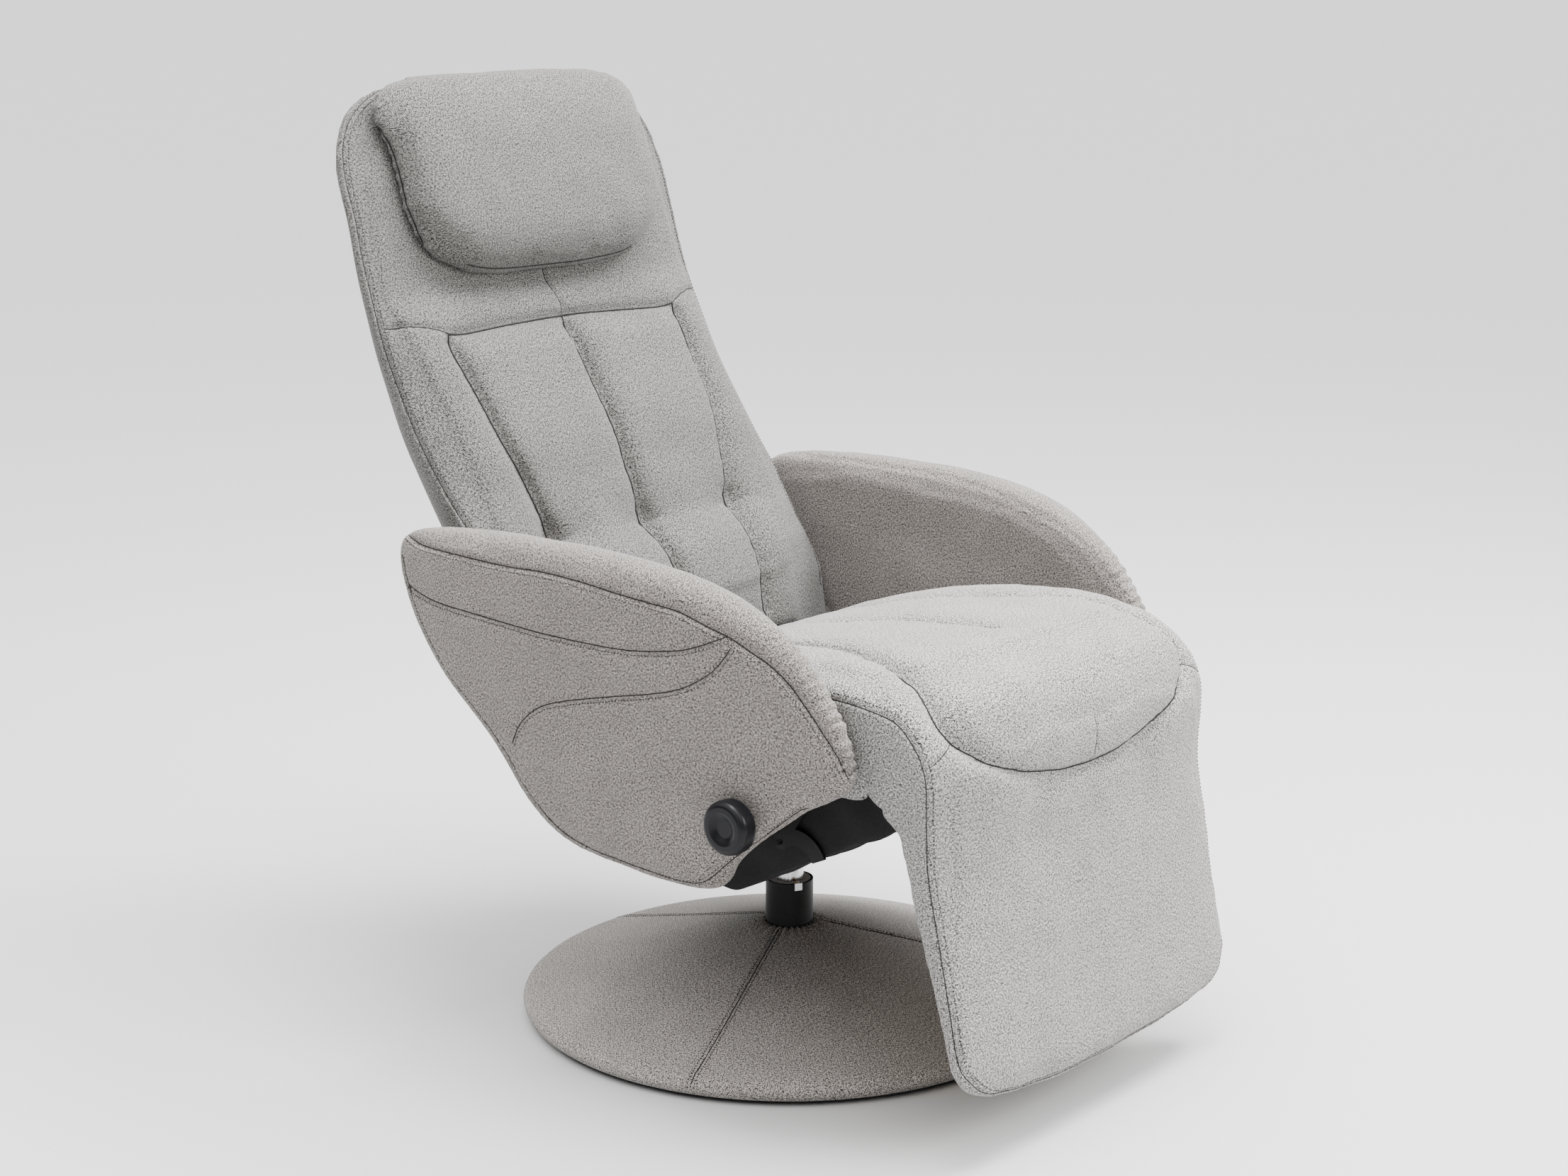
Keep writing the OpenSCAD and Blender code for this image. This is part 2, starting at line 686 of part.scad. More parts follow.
// At its two sides the cloth reaches further back, under the hinge
foot_flap_shares = [[0.06, -0.03], [0.12, -0.03], [0.155, 0.03], [0.19, 0.044], [0.97, 0.263], [1, 0.268]];
function foot_flap(s) = foot_drop * lookup(s, foot_flap_shares);
function foot_half(s) = seat_w / 2 * (1 - 0.018 * s) * pow(1 - pow(max(0, (s - 0.79) / 0.215), 4), 0.4);

function foot_ring(s, r) = let(
    half = foot_half(s),
    swell = foot_swell * mix(1, 0.35, s) * (s > 0.9 ? 1 - pow((s - 0.9) / 0.12, 2) : 1),
    seam = seat_w * 0.2,
    depth = seam_depth * 0.6 * max(0, 1 - s * 2.5),
    xs = mirrored(half_columns(seam, half)),
    z = foot_z - s * foot_drop)
    concat([for (x = xs)
            [x, foot_y - foot_face(s) - swell * pillow(x, half, 4) + depth * groove(x, seam, groove_w), z]],
        [for (x = rear_column_shares) let(back = abs(x) > 0.84 ? foot_flap(r) : foot_rear(r))
            [x * (half - tuck), foot_y - back, foot_z - r * foot_drop]]);

foot_board_t = 12;
foot_board_rise = 45;
foot_board_inset = 26;
foot_board_z = [foot_low + foot_board_rise, foot_z - foot_drop * 0.2];

// The board stands in the pad's rear face, along the footrest's slope; out lengthens it rearwards
module foot_board_block(t, out = 0) {
    w = seat_w / 2 - foot_board_inset;
    s0 = (foot_z - foot_board_z[0]) / foot_drop;
    s1 = (foot_z - foot_board_z[1]) / foot_drop;
    y0 = foot_y - foot_rear(s0);
    y1 = foot_y - foot_rear(s1);
    in_yz(-w, 2 * w)
        polygon([[y0 + out, foot_board_z[0]], [y1 + out, foot_board_z[1]],
            [y1 - t, foot_board_z[1]], [y0 - t, foot_board_z[0]]]);
}

module foot_pad() {
    stations = concat([[0.11, 0.06], [0.14, 0.12], [0.175, 0.155], [0.2, 0.19]],
        [for (s = [0.25, 0.31, 0.4, 0.5, 0.6, 0.7, 0.79, 0.86, 0.91, 0.95, 0.97, 0.99, 1]) [s, s]]);
    color(cloth)
        difference() {
            skin(concat([roll_ring(roll_low, clear)], [for (s = stations) foot_ring(s[0], s[1])]), true);
            foot_board_block(foot_board_t, foot_board_t);
        }
}

module foot_board() {
    color(wood)
        difference() {
            foot_board_block(foot_board_t);
            foot_screw_places() foot_screw(screw_r);
        }
}

// Footrest brackets: a hub on the axle, a crank behind it and an arm down the board's rear
side_gap = 2;
link_t = 5;
bracket_t = 5;
bracket_in = rail_in - side_gap - bracket_t;
link_in = bracket_in - side_gap - link_t;
foot_crank = crank_len * sin(back_travel / 2) / sin(foot_travel / 2);
pin_r = 4;
boss_wall = 4.5;
boss_r = pin_r + boss_wall;
pin_head_t = 2;
foot_pin = [foot_y + foot_crank * sin(foot_travel / 2), foot_z - foot_crank * cos(foot_travel / 2)];
back_pin = [back_y + crank_len * sin(back_travel / 2), back_z - crank_len * cos(back_travel / 2)];
screw_r = 2.5;
screw_head_h = 2;
tab_t = 3;
tab_w = 24;

// The footrest's slope below the brackets' bend, as a direction
function foot_slope() = atan((foot_rear(0.6) - foot_rear(0.3)) / (foot_drop * 0.3));

tab_s = [0.3, 0.5];
function on_board(s, off) = [foot_y - foot_rear(s) + off, foot_z - s * foot_drop];

module foot_bracket_shape() {
    difference() {
        union() {
            translate([foot_y, foot_z]) circle(r = foot_hub_r);
            translate(foot_pin) circle(r = boss_r, $fn = fine);
            polygon([foot_pin + [boss_r * 0.8, 0], foot_pin - [boss_r * 0.9, boss_r * 0.4],
                [foot_y - foot_hub_r, foot_z], [foot_y + foot_hub_r, foot_z]]);
            polygon([[foot_y - foot_hub_r, foot_z], [foot_y, foot_z],
                [foot_y + foot_hub_r * 0.2, foot_z - 3 * foot_hub_r], on_board(tab_s[1], tab_t + clear),
                on_board(tab_s[1], clear), on_board(tab_s[0], clear), on_board(0.2, clear),
                on_board(0.17, 4 * clear),
                on_board(0.06, 3 * clear)]);
        }
        translate([foot_y, foot_z]) circle(r = axle_d / 2 + run);
        translate(foot_pin) circle(r = pin_r, $fn = fine);
    }
}

module foot_screw_places() {
    for (x = [-1, 1]) for (s = [0.34, 0.46])
        translate([x * (bracket_in - tab_w / 2), foot_y - foot_rear(s), foot_z - s * foot_drop]) children();
}

module foot_screw(r) {
    rotate([90 - foot_slope(), 0, 0]) translate([0, 0, -tab_t - 2 * over])
        cylinder(r = r, h = foot_board_t * 0.8 + tab_t + 2 * over, $fn = fine);
}

// The arm's foot is bent inwards to a tab that lies on the board
module foot_tab() {
    in_yz(bracket_in - tab_w, tab_w + over)
        polygon([on_board(tab_s[0], clear), on_board(tab_s[1], clear), on_board(tab_s[1], clear + tab_t),
            on_board(tab_s[0], clear + tab_t)]);
}

module foot_bracket_left() {
    color(black)
        difference() {
            union() {
                in_yz(bracket_in, bracket_t) foot_bracket_shape();
                foot_tab();
            }
            foot_screw_places() foot_screw(screw_r + clear);
        }
}

module foot_bracket_right() {
    other_side() foot_bracket_left();
}

module foot_screws() {
    color(steel)
        foot_screw_places() rotate([90 - foot_slope(), 0, 0]) {
            translate([0, 0, -tab_t - clear - screw_head_h])
                cylinder(r = screw_r * 1.9, h = screw_head_h, $fn = fine);
            translate([0, 0, -tab_t - clear])
                cylinder(r = screw_r, h = foot_board_t * 0.7 + tab_t, $fn = fine);
        }
}

module foot_crank_pins() {
    color(steel)
        for (s = [0, 1]) mirror([s, 0, 0]) {
            along_x(link_in - pin_head_t, bracket_in + bracket_t, foot_pin[0], foot_pin[1], pin_r);
            along_x(link_in - 2 * pin_head_t, link_in - pin_head_t, foot_pin[0], foot_pin[1], pin_r * 1.9);
        }
}

// Back: the side seam from the side, as shares of the reach and the rise, bottom to top
back_rise = back_top - back_low;
back_start = 155;
back_line_shares = [[0, 0], [0.07, 0.09], [0.145, 0.175], [0.245, 0.245], [0.415, 0.338],
    [0.585, 0.456], [0.708, 0.576], [0.792, 0.687], [0.858, 0.796], [0.928, 0.893], [1, 1]];
back_n = len(back_line_shares) - 1;
function back_at(v) = let(p = curve(back_line_shares, v * back_n))
    [back_start + p[0] * back_reach, back_low + p[1] * back_rise];
function back_out(v) = let(
    e = 0.01,
    k = max(0, min(1, v)),
    u = back_at(min(1, k + e)) - back_at(max(0, k - e)),
    w = u / norm(u))
    [-w[1], w[0]];
// A point over the side line: x across, f in front of it
function back_point(x, v, f) = let(p = back_at(v) + f * back_out(v)) [x, p[0], p[1]];

// Half width of the back: a little less between the arms, rounded at the top
function back_half(v) = back_w / 2 * (v < 0.35 ? mix(0.935, 1, v / 0.35) : 1)
    * pow(1 - pow(max(0, (v - 0.78) / 0.235), 4), 0.385);
// Swell of the front, along the back: shares of back_swell
back_swell_shares = [[0, 0.35], [0.06, 0.62], [0.12, 0.72], [0.176, 0.62], [0.21, 0.46], [0.272, 0.3],
    [0.311, 0.42], [0.356, 0.62], [0.393, 0.88], [0.442, 1], [0.5, 1], [0.56, 0.92], [0.587, 0.72],
    [0.61, 0.64], [0.63, 0.5], [0.65, 0.28], [1, 0.28]];
tuft_v = 0.272;
panel_top_v = 0.587;
back_seam_shares = [[0, 0.25], [0.272, 0.283], [0.42, 0.34], [0.587, 0.354], [1, 0.354]];
function back_seam(v) = back_w * lookup(v, back_seam_shares);
tuft_depth = 12;
tuft_r = 26;

function tuft(x, v, at) =
    exp(-(pow(x - at, 2) + pow((v - tuft_v) * back_rise * 1.1, 2)) / (tuft_r * tuft_r));
function back_front(x, v) = let(
    half = back_half(v),
    ribs = v < panel_top_v ? 1 : 0,
    seam = back_seam(v))
    back_swell * lookup(v, back_swell_shares) * pillow(x, half, 7)
    - ribs * seam_depth * (groove(x, 0, groove_w) + groove(x, seam, groove_w) * 0.8)
    - seam_depth * 0.6 * exp(-pow((v - panel_top_v) * 55, 2)) * (abs(x) < seam ? 1 : 0)
    - tuft_depth * (tuft(x, v, 0) + tuft(x, v, seam) + tuft(x, v, -seam));
// Depth of the cushion behind the side line
back_depth_shares = [[0, 1], [0.35, 1], [0.6, 0.7], [0.8, 0.36], [1, 0.25]];
back_depth = 28;
function back_rear(v) = back_depth * lookup(v, back_depth_shares);

function back_ring(v) = let(
    half = back_half(v),
    seam = min(back_seam(v), half * 0.8),
    xs = mirrored(concat([0, 0.12, 0.5, 0.88, 1] * seam,
        [for (s = [0.25, 0.6, 0.86, 1]) mix(seam, half, s)])))
    concat([for (x = xs) back_point(x, v, back_front(x, v))],
        [for (x = [0.94, 0.5, 0, -0.5, -0.94]) back_point(x * half, v, -back_rear(v))]);

module back_cushion() {
    stations = [0, 0.03, 0.07, 0.11, 0.15, 0.185, 0.215, 0.245, 0.272, 0.3, 0.33, 0.36, 0.4, 0.44, 0.48,
        0.52, 0.55, 0.572, 0.587, 0.602, 0.615, 0.632, 0.65, 0.67, 0.7, 0.75, 0.8, 0.85, 0.89, 0.925,
        0.955, 0.978, 0.992, 1];
    color(cloth) skin([for (v = stations) back_ring(v)]);
}

// The cloth over the rear, a curved shell from side seam to side seam
panel_t = 4;
panel_depth = 128;
panel_depth_shares = [[0, 0.45], [0.04, 0.62], [0.12, 0.82], [0.25, 0.94], [0.35, 0.92], [0.5, 0.76],
    [0.6, 0.62], [0.72, 0.49], [0.85, 0.37], [0.95, 0.27], [1, 0.16]];
panel_stations = concat([0.03, 0.06, 0.09, 0.13], [for (k = [0:8]) 0.2 + 0.08 * k],
    [0.9, 0.945, 0.975, 0.99]);
panel_steps = 15;
// One side of the shell, drawn in by off, from one edge of the cushion's rear face to the other
function panel_arc(v, off) = let(
    half = back_half(v) - off * 0.5,
    depth = panel_depth * lookup(v, panel_depth_shares) - off,
    start = back_rear(v) + clear * 0.2,
    a0 = asin(min(0.9, start / depth)))
    [for (i = [0:panel_steps]) let(a = mix(a0, 180 - a0, i / panel_steps))
        back_point(half * cos(a), v, -max(start, depth * sin(a)))];
// The wall thickens at the top, where it closes the shell
function panel_wall(v) = v < 0.98 ? panel_t
    : panel_depth * lookup(v, panel_depth_shares) - back_rear(v) - panel_t;

module back_panel() {
    rings = [for (v = panel_stations) let(inner = panel_arc(v, panel_wall(v)))
        concat(panel_arc(v, 0), [for (i = [panel_steps:-1:0]) inner[i]])];
    color(cloth) skin(rings, strip = true);
}

// The head cushion lies on the upper back and folds over its top
head_low_v = 0.667;
head_over = 3;
head_edge_t = 2;
head_seat = back_swell * 0.28 + clear;

function head_half(s) = head_w / 2 * mix(0.965, 1, s) * pow(1 - pow(max(0, 1 - s / 0.2), 3), 0.42)
    * pow(1 - pow(max(0, (s - 0.62) / 0.42), 4), 0.4);
function head_front(x, s) = let(half = head_half(s))
    head_seat + head_t * (0.3 + 0.7 * pow(max(0, 1 - pow(abs(x) / half, 3)), 0.5))
        * pow(max(0, sin(min(1, s / 0.3 + 0.12) * 90)), 0.6)
        * (s > 0.6 ? 1 - 0.7 * pow((s - 0.6) / 0.4, 2) : 1);

function head_ring(s) = let(
    v = mix(head_low_v, 1, min(1, s)),
    half = head_half(s),
    xs = mirrored([for (q = [0, 0.3, 0.55, 0.75, 0.9, 1]) q * half]))
    concat([for (x = xs) back_point(x, v, max(head_front(x, s), head_seat + head_edge_t))],
        [for (q = [1, 0.5, 0, -0.5, -1]) back_point(q * half, v, head_seat)]);

// The last rings stand above the back's top and reach rearwards over it
function head_cap(k) = let(
    lift = head_over * k,
    half = head_half(1) * mix(1, 0.8, k * k),
    xs = mirrored([for (q = [0, 0.3, 0.55, 0.75, 0.9, 1]) q * half]),
    base = back_at(1),
    out = back_out(1))
    concat([for (x = xs) let(f = head_front(x * 0.98, 1) * mix(1, 0.55, k * k))
            [x, base[0] + out[0] * f + 0.25 * lift, base[1] + out[1] * f + lift + clear]],
        [for (q = [1, 0.5, 0, -0.5, -1])
            [q * half, base[0] + back_depth * mix(0.6, 0.2, k), base[1] + lift + clear]]);

module head_cushion() {
    stations = [0.004, 0.015, 0.04, 0.08, 0.13, 0.2, 0.3, 0.42, 0.55, 0.66, 0.76, 0.85, 0.92, 0.97, 1];
    color(cloth) skin(concat([for (s = stations) head_ring(s)], [for (k = [0, 0.45, 0.8, 1]) head_cap(k)]));
}

// Back frame: bent tubes that follow the cushion's rear face
tube_r = 9;
tube_x = bracket_in - tube_r;
tube_gap = 1.6;
function tube_at(v) = back_at(v) - (back_rear(v) + tube_r + tube_gap) * back_out(v);
tube_bends = [0.045, 0.13, 0.21, 0.28, 0.35, 0.43, 0.52, 0.62, 0.7, 0.77];

tube_sides = 16;

// A side tube, mitred at its bends
module back_tube_left() {
    pts = [for (v = tube_bends) tube_at(v)];
    n = len(pts);
    color(black)
        skin([for (i = [0:n - 1]) let(
            d = pts[min(i + 1, n - 1)] - pts[max(i - 1, 0)],
            u = d / norm(d))
            [for (k = [0:tube_sides - 1]) let(
                a = 360 * k / tube_sides,
                q = pts[i] + tube_r * sin(a) * [-u[1], u[0]])
                [tube_x + tube_r * cos(a), q[0], q[1]]]], true);
}

module back_tube_right() {
    other_side() back_tube_left();
}

cross_vs = [0.09, 0.75];
back_cross_r = 8;

module back_cross_tubes() {
    color(black)
        for (v = cross_vs) let(p = tube_at(v))
            along_x(-tube_x + tube_r, tube_x - tube_r, p[0], p[1], back_cross_r);
}

// Zigzag springs between the side tubes
spring_wire = 4;
spring_pitch = 44;
spring_swing = 11;
spring_vs = [0.2, 0.3, 0.4, 0.5, 0.6, 0.7];

function zigzag(w, pitch, swing) = let(n = floor(w / pitch))
    [for (i = [0:2 * n]) let(side = i == 0 || i == 2 * n ? 0 : i % 2 == 0 ? -1 : 1)
        [mix(-w / 2, w / 2, i / (2 * n)), side * swing]];

module back_springs() {
    span = 2 * (tube_x - tube_r);
    line = zigzag(span, spring_pitch, spring_swing);
    n = len(line);
    color(steel)
        for (v = spring_vs) let(p = tube_at(v), o = back_out(v))
            translate([0, p[0], p[1]]) rotate([atan2(-o[0], o[1]), 0, 0])
                translate([0, 0, -spring_wire / 2]) linear_extrude(spring_wire)
                    polygon(concat([for (q = line) q + [0, spring_wire / 2]],
                        [for (i = [n - 1:-1:0]) line[i] - [0, spring_wire / 2]]));
}

// Back brackets: a hub on the axle, the crank below it, and an arm up beside the tube
module back_bracket_shape() {
    vs = [0, 0.05, 0.1, 0.15, 0.2];
    front = [for (v = vs) back_at(v) - (back_rear(v) + 2 * clear) * back_out(v)];
    rear = [for (v = vs) back_at(v) - (back_rear(v) + tube_gap + 2 * tube_r) * back_out(v)];
    difference() {
        union() {
            translate([back_y, back_z]) circle(r = hub_r);
            translate(back_pin) circle(r = boss_r, $fn = fine);
            polygon([[back_y - hub_r * 0.9, back_z], back_pin - [boss_r, 0], back_pin + [boss_r, 0],
                [back_y + hub_r, back_z]]);
            polygon(concat([[back_y - hub_r * 0.9, back_z], [back_y + hub_r * 0.6, back_z - hub_r * 0.8]],
                [for (k = [1:4]) rear[k]], [for (k = [4:-1:0]) front[k] - [0, k == 0 ? clear * 3 : 0]]));
        }
        translate([back_y, back_z]) circle(r = axle_d / 2 + run);
        translate(back_pin) circle(r = pin_r, $fn = fine);
    }
}

module back_bracket_left() {
    color(black) in_yz(bracket_in, bracket_t) back_bracket_shape();
}

module back_bracket_right() {
    other_side() back_bracket_left();
}

module back_crank_pins() {
    color(steel)
        for (s = [0, 1]) mirror([s, 0, 0]) {
            along_x(link_in - pin_head_t, bracket_in + bracket_t, back_pin[0], back_pin[1], pin_r);
            along_x(link_in - 2 * pin_head_t, link_in - pin_head_t, back_pin[0], back_pin[1], pin_r * 1.9);
        }
}

// Push rods: they carry the back's lean to the footrest. The rod stays level with itself, and
// the footrest's pin rises and falls in the wider hole at its front
pin_sag = foot_crank * (1 - cos(foot_travel / 2)) - crank_len * (1 - cos(back_travel / 2));
rod_w = 13;
back_sag = crank_len * (1 - cos(back_travel / 2));
slot_room = 1;
hole_room = 0.8;
rod_wall = 4;
slot_r = clamp_d / 2 + back_sag / 2 + slot_room;
rod_stroke = 2 * crank_len * sin(back_travel / 2);
front_hole_r = pin_r + pin_sag / 2 + hole_room;

module push_rod_shape() {
    front = foot_pin + [0, -pin_sag / 2];
    slot = [[-clamp_y, clamp_z + back_sag / 2], [-clamp_y + rod_stroke, clamp_z + back_sag / 2]];
    lobe = slot_r + rod_wall + over;
    side = [0, rod_w / 2];
    difference() {
        union() {
            translate(front) circle(r = front_hole_r + rod_wall, $fn = fine);
            translate(back_pin) circle(r = boss_r, $fn = fine);
            polygon([front + side, slot[0] + side, back_pin + side,
                back_pin - side, slot[0] - side, front - side]);
            for (p = slot) translate(p) circle(r = lobe, $fn = fine);
            polygon([slot[0] + [0, lobe], slot[0] - [0, lobe], slot[1] - [0, lobe], slot[1] + [0, lobe]]);
        }
        translate(front) circle(r = front_hole_r, $fn = fine);
        translate(back_pin) circle(r = pin_r + run, $fn = fine);
        for (p = slot) translate(p) circle(r = slot_r, $fn = fine);
        polygon([slot[0] + [0, slot_r], slot[0] - [0, slot_r],
            slot[1] - [0, slot_r], slot[1] + [0, slot_r]]);
    }
}

module push_rod_left() {
    color(black) in_yz(link_in, link_t) push_rod_shape();
}

module push_rod_right() {
    other_side() push_rod_left();
}

// Clamping bolt, sleeves, lock plate and hand wheel
wheel_gap = 3;
cover_gap = 11;
clamp_head_t = 5;
wheel_in = arm_mid(-clamp_y) + arm_half(-clamp_y) + wheel_gap;
cover_out = rail_out + cover_gap;
lock_in = cover_out + side_gap;
lock_t = 3;

module clamp_bolts() {
    color(steel)
        for (s = [0, 1]) mirror([s, 0, 0]) {
            along_x(link_in - clamp_head_t, link_in - clear, -clamp_y, clamp_z, slot_r + lock_t);
            along_x(link_in - clear, wheel_in + wheel_t * 0.62, -clamp_y, clamp_z, clamp_d / 2);
        }
}

module clamp_sleeves() {
    color(black)
        for (s = [0, 1]) mirror([s, 0, 0]) difference() {
            union() {
                along_x(rail_out, lock_in, -clamp_y, clamp_z, sleeve_r);
                along_x(lock_in + lock_t, wheel_in - clear, -clamp_y, clamp_z, sleeve_r);
            }
            along_x(rail_in, wheel_in, -clamp_y, clamp_z, clamp_d / 2 + clear);
        }
}

// A curved plate behind the arm's lower edge, with an oval eye at its rear end: the place of
// its bend's centre from the bolt, the bend's two radii and the eye's
lock_behind = 12;
lock_below = 76;
bend_in_r = 24;
bend_out_r = 42;
eye_r = 3.2;
eye_len = 9;

module lock_shape() {
    c = [lock_behind - clamp_y, clamp_z - lock_below];
    half = (bend_out_r - bend_in_r) / 2;
    eye = c + [cos(50), sin(50)] * (bend_in_r + half);
    difference() {
        union() {
            polygon(concat([for (a = [50:7.5:155]) c + bend_out_r * [cos(a), sin(a)]],
                [for (a = [155:-7.5:50]) c + bend_in_r * [cos(a), sin(a)]]));
            translate(eye) circle(r = half, $fn = fine);
            translate([-clamp_y, clamp_z]) circle(r = sleeve_r + lock_t, $fn = fine);
            polygon([[-clamp_y - sleeve_r, clamp_z], [-clamp_y + sleeve_r, clamp_z],
                eye + [half, 0], eye - [half, 0]]);
        }
        translate(eye) rotate(-20) {
            circle(r = eye_r, $fn = fine);
            translate([0, -eye_r]) square([eye_len, 2 * eye_r]);
            translate([eye_len, 0]) circle(r = eye_r, $fn = fine);
        }
        translate([-clamp_y, clamp_z]) circle(r = clamp_d / 2 + clear, $fn = fine);
    }
}

module lock_plate_left() {
    color(black) in_yz(lock_in, lock_t) lock_shape();
}

module lock_plate_right() {
    other_side() lock_plate_left();
}

// Wheel profile, turned about the bolt: a rounded rim and a dished face
insert_wall = 3.5;
insert_r = clamp_d / 2 + insert_wall;
insert_l = wheel_t * 0.68;

module wheel_left() {
    r = wheel_d / 2;
    edge = wheel_t * 0.3;
    dish = wheel_t * 0.16;
    profile = concat([[0, insert_l], [insert_r, insert_l], [insert_r, 0], [r * 0.62, 0]],
        [for (a = [-80:20:0]) [r - edge + edge * cos(a), edge + edge * sin(a)]],
        [for (a = [0:20:90]) [r - edge + edge * cos(a), wheel_t - edge + edge * sin(a)]],
        [[r * 0.62, wheel_t], [r * 0.5, wheel_t - dish * 0.35], [r * 0.34, wheel_t - dish],
            [0, wheel_t - dish]]);
    color(black)
        translate([wheel_in, -clamp_y, clamp_z]) rotate([0, 90, 0]) rotate_extrude() polygon(profile);
}

module wheel_insert_left() {
    color("#c9a85a")
        difference() {
            along_x(wheel_in, wheel_in + insert_l, -clamp_y, clamp_z, insert_r, $fn);
            along_x(wheel_in - over, wheel_in + insert_l + over, -clamp_y, clamp_z, clamp_d / 2 + run);
        }
}

module wheel_right() {
    other_side() wheel_left();
}

module wheel_insert_right() {
    other_side() wheel_insert_left();
}

// Black cloth round the mechanism: sides, sloping floor and rear, open at its top and front
cover_t = 2;
cover_drop = 7;
cover_rim = 6;
cover_rear = 66;
cover_knee = 48;
cover_below = 44;

// The cover from the side. The space in it is d smaller below and behind, and is drawn longer
// by rise and by ahead where the cover is open, at its top and front
module cover_outline(d = 0, rise = 0, ahead = 0) {
    low = plate_z - cover_drop + d;
    front = foot_y + foot_hub_r - ahead;
    under = seat_under(board_front) - board_t - clear + rise;
    end = seat_under(board_rear) - board_t - clear + rise;
    top = seat_under(board_front) - clear + rise;
    polygon([[front, top], [front, foot_z - foot_drop * 0.185 + d],
        [-cross_y - cross_w * 0.85 + d * 0.3, low], [plate_w / 2 + cover_rim - d * 0.2, low],
        [back_y + cover_rear - cover_t * 2 - d, plate_z + cover_knee + d * 0.6],
        [back_y + cover_rear - d, back_z - cover_below + rise],
        [board_rear, end], [board_front - clear, under], [board_front - clear, top]]);
}

module underseat_cover() {
    color(black)
        difference() {
            in_yz(-cover_out, 2 * cover_out) cover_outline();
            in_yz(-cover_out + cover_t, 2 * (cover_out - cover_t)) cover_outline(cover_t, plate_z, over);
            translate([0, 0, plate_z - 2 * cover_drop]) cylinder(r = post_r + pass, h = 2 * cover_drop);
            for (s = [0, 1]) mirror([s, 0, 0]) {
                for (p = arm_bolt_at) along_x(rail_out, cover_out + over, p[0], p[1], spacer_r + pass);
                along_x(rail_out, cover_out + over, -clamp_y, clamp_z, sleeve_r + pass);
            }
        }
}

glide_ring();
base_plate();
base_core();
base_cover();
column();
column_bushes();
thrust_disc();
bush_clip();
flange_bolts();
post();
mounting_plate();
cross_tubes();
plate_bolts();
side_rail_left();
side_rail_right();
back_axle();
foot_axle();
axle_caps();
seat_board();
seat_cushion();
front_roll();
underseat_cover();
arm_board_left();
arm_board_right();
arm_pad_left();
arm_pad_right();
arm_spacers();
arm_bolts();
clamp_bolts();
clamp_sleeves();
lock_plate_left();
lock_plate_right();
back_bracket_left();
back_bracket_right();
back_tube_left();
back_tube_right();
back_cross_tubes();
back_springs();
back_crank_pins();
back_cushion();
back_panel();
head_cushion();
foot_bracket_left();
foot_bracket_right();
foot_board();
foot_pad();
foot_screws();
foot_crank_pins();
push_rod_left();
push_rod_right();
wheel_left();
wheel_insert_left();
wheel_right();
wheel_insert_right();
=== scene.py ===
import json
import math
from contextlib import contextmanager

import bpy
import numpy as np
from mathutils import Matrix, Vector, noise
from mathutils.bvhtree import BVHTree
from mathutils.kdtree import KDTree


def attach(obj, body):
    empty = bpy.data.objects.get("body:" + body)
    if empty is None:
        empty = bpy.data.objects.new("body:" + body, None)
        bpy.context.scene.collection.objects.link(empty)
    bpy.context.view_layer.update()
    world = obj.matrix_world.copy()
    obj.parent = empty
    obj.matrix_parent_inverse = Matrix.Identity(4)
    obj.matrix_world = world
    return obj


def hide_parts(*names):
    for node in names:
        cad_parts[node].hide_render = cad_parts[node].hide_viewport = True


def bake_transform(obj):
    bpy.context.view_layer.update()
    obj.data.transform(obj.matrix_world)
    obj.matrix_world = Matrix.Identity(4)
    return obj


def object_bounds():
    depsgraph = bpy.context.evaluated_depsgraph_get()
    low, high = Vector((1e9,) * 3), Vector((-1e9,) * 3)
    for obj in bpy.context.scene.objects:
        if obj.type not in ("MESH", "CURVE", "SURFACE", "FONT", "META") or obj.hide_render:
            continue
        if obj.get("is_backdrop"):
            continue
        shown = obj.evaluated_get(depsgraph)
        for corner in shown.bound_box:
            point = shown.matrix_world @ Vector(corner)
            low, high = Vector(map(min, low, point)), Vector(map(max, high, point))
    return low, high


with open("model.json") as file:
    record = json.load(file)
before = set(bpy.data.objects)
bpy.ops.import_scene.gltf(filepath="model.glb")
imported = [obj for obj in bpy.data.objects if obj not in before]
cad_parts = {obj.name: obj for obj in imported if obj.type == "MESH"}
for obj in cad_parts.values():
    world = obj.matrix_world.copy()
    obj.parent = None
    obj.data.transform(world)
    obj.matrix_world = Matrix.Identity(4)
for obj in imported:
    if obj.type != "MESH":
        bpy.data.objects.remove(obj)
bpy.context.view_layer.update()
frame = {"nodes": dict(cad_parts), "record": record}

# Studio: a plain pale floor and soft lamps. The camera stands where the photograph was
# taken from, on the chair's right front, and looks slightly down at it.

floor_size = 260.0
floor_grey = 0.55
side_light, top_light = 0.03, 4.4
sky_from, sky_to = 0.15, 1.0
picture_wide, focal_pixels, film_wide = 2212, 3881, 36
camera_turn, camera_dip = math.radians(49.21), math.radians(13.15)
camera_place = (-2.2459, -1.9298, 1.1770)


def feed(tree, made, **inputs):
    """Sets a node's inputs, each to a value or linked from another node's output."""
    for key, value in inputs.items():
        socket = made.inputs[key.replace("_", " ")]
        if isinstance(value, bpy.types.NodeSocket):
            tree.links.new(value, socket)
        else:
            socket.default_value = value
    return made


def node(tree, kind, **inputs):
    return feed(tree, tree.nodes.new(kind), **inputs)


def ranged(tree, value, to_low, to_high, from_low=0.0, from_high=1.0):
    """A value brought from one range to another."""
    return node(tree, "ShaderNodeMapRange", Value=value, From_Min=from_low, From_Max=from_high,
                To_Min=to_low, To_Max=to_high).outputs["Result"]


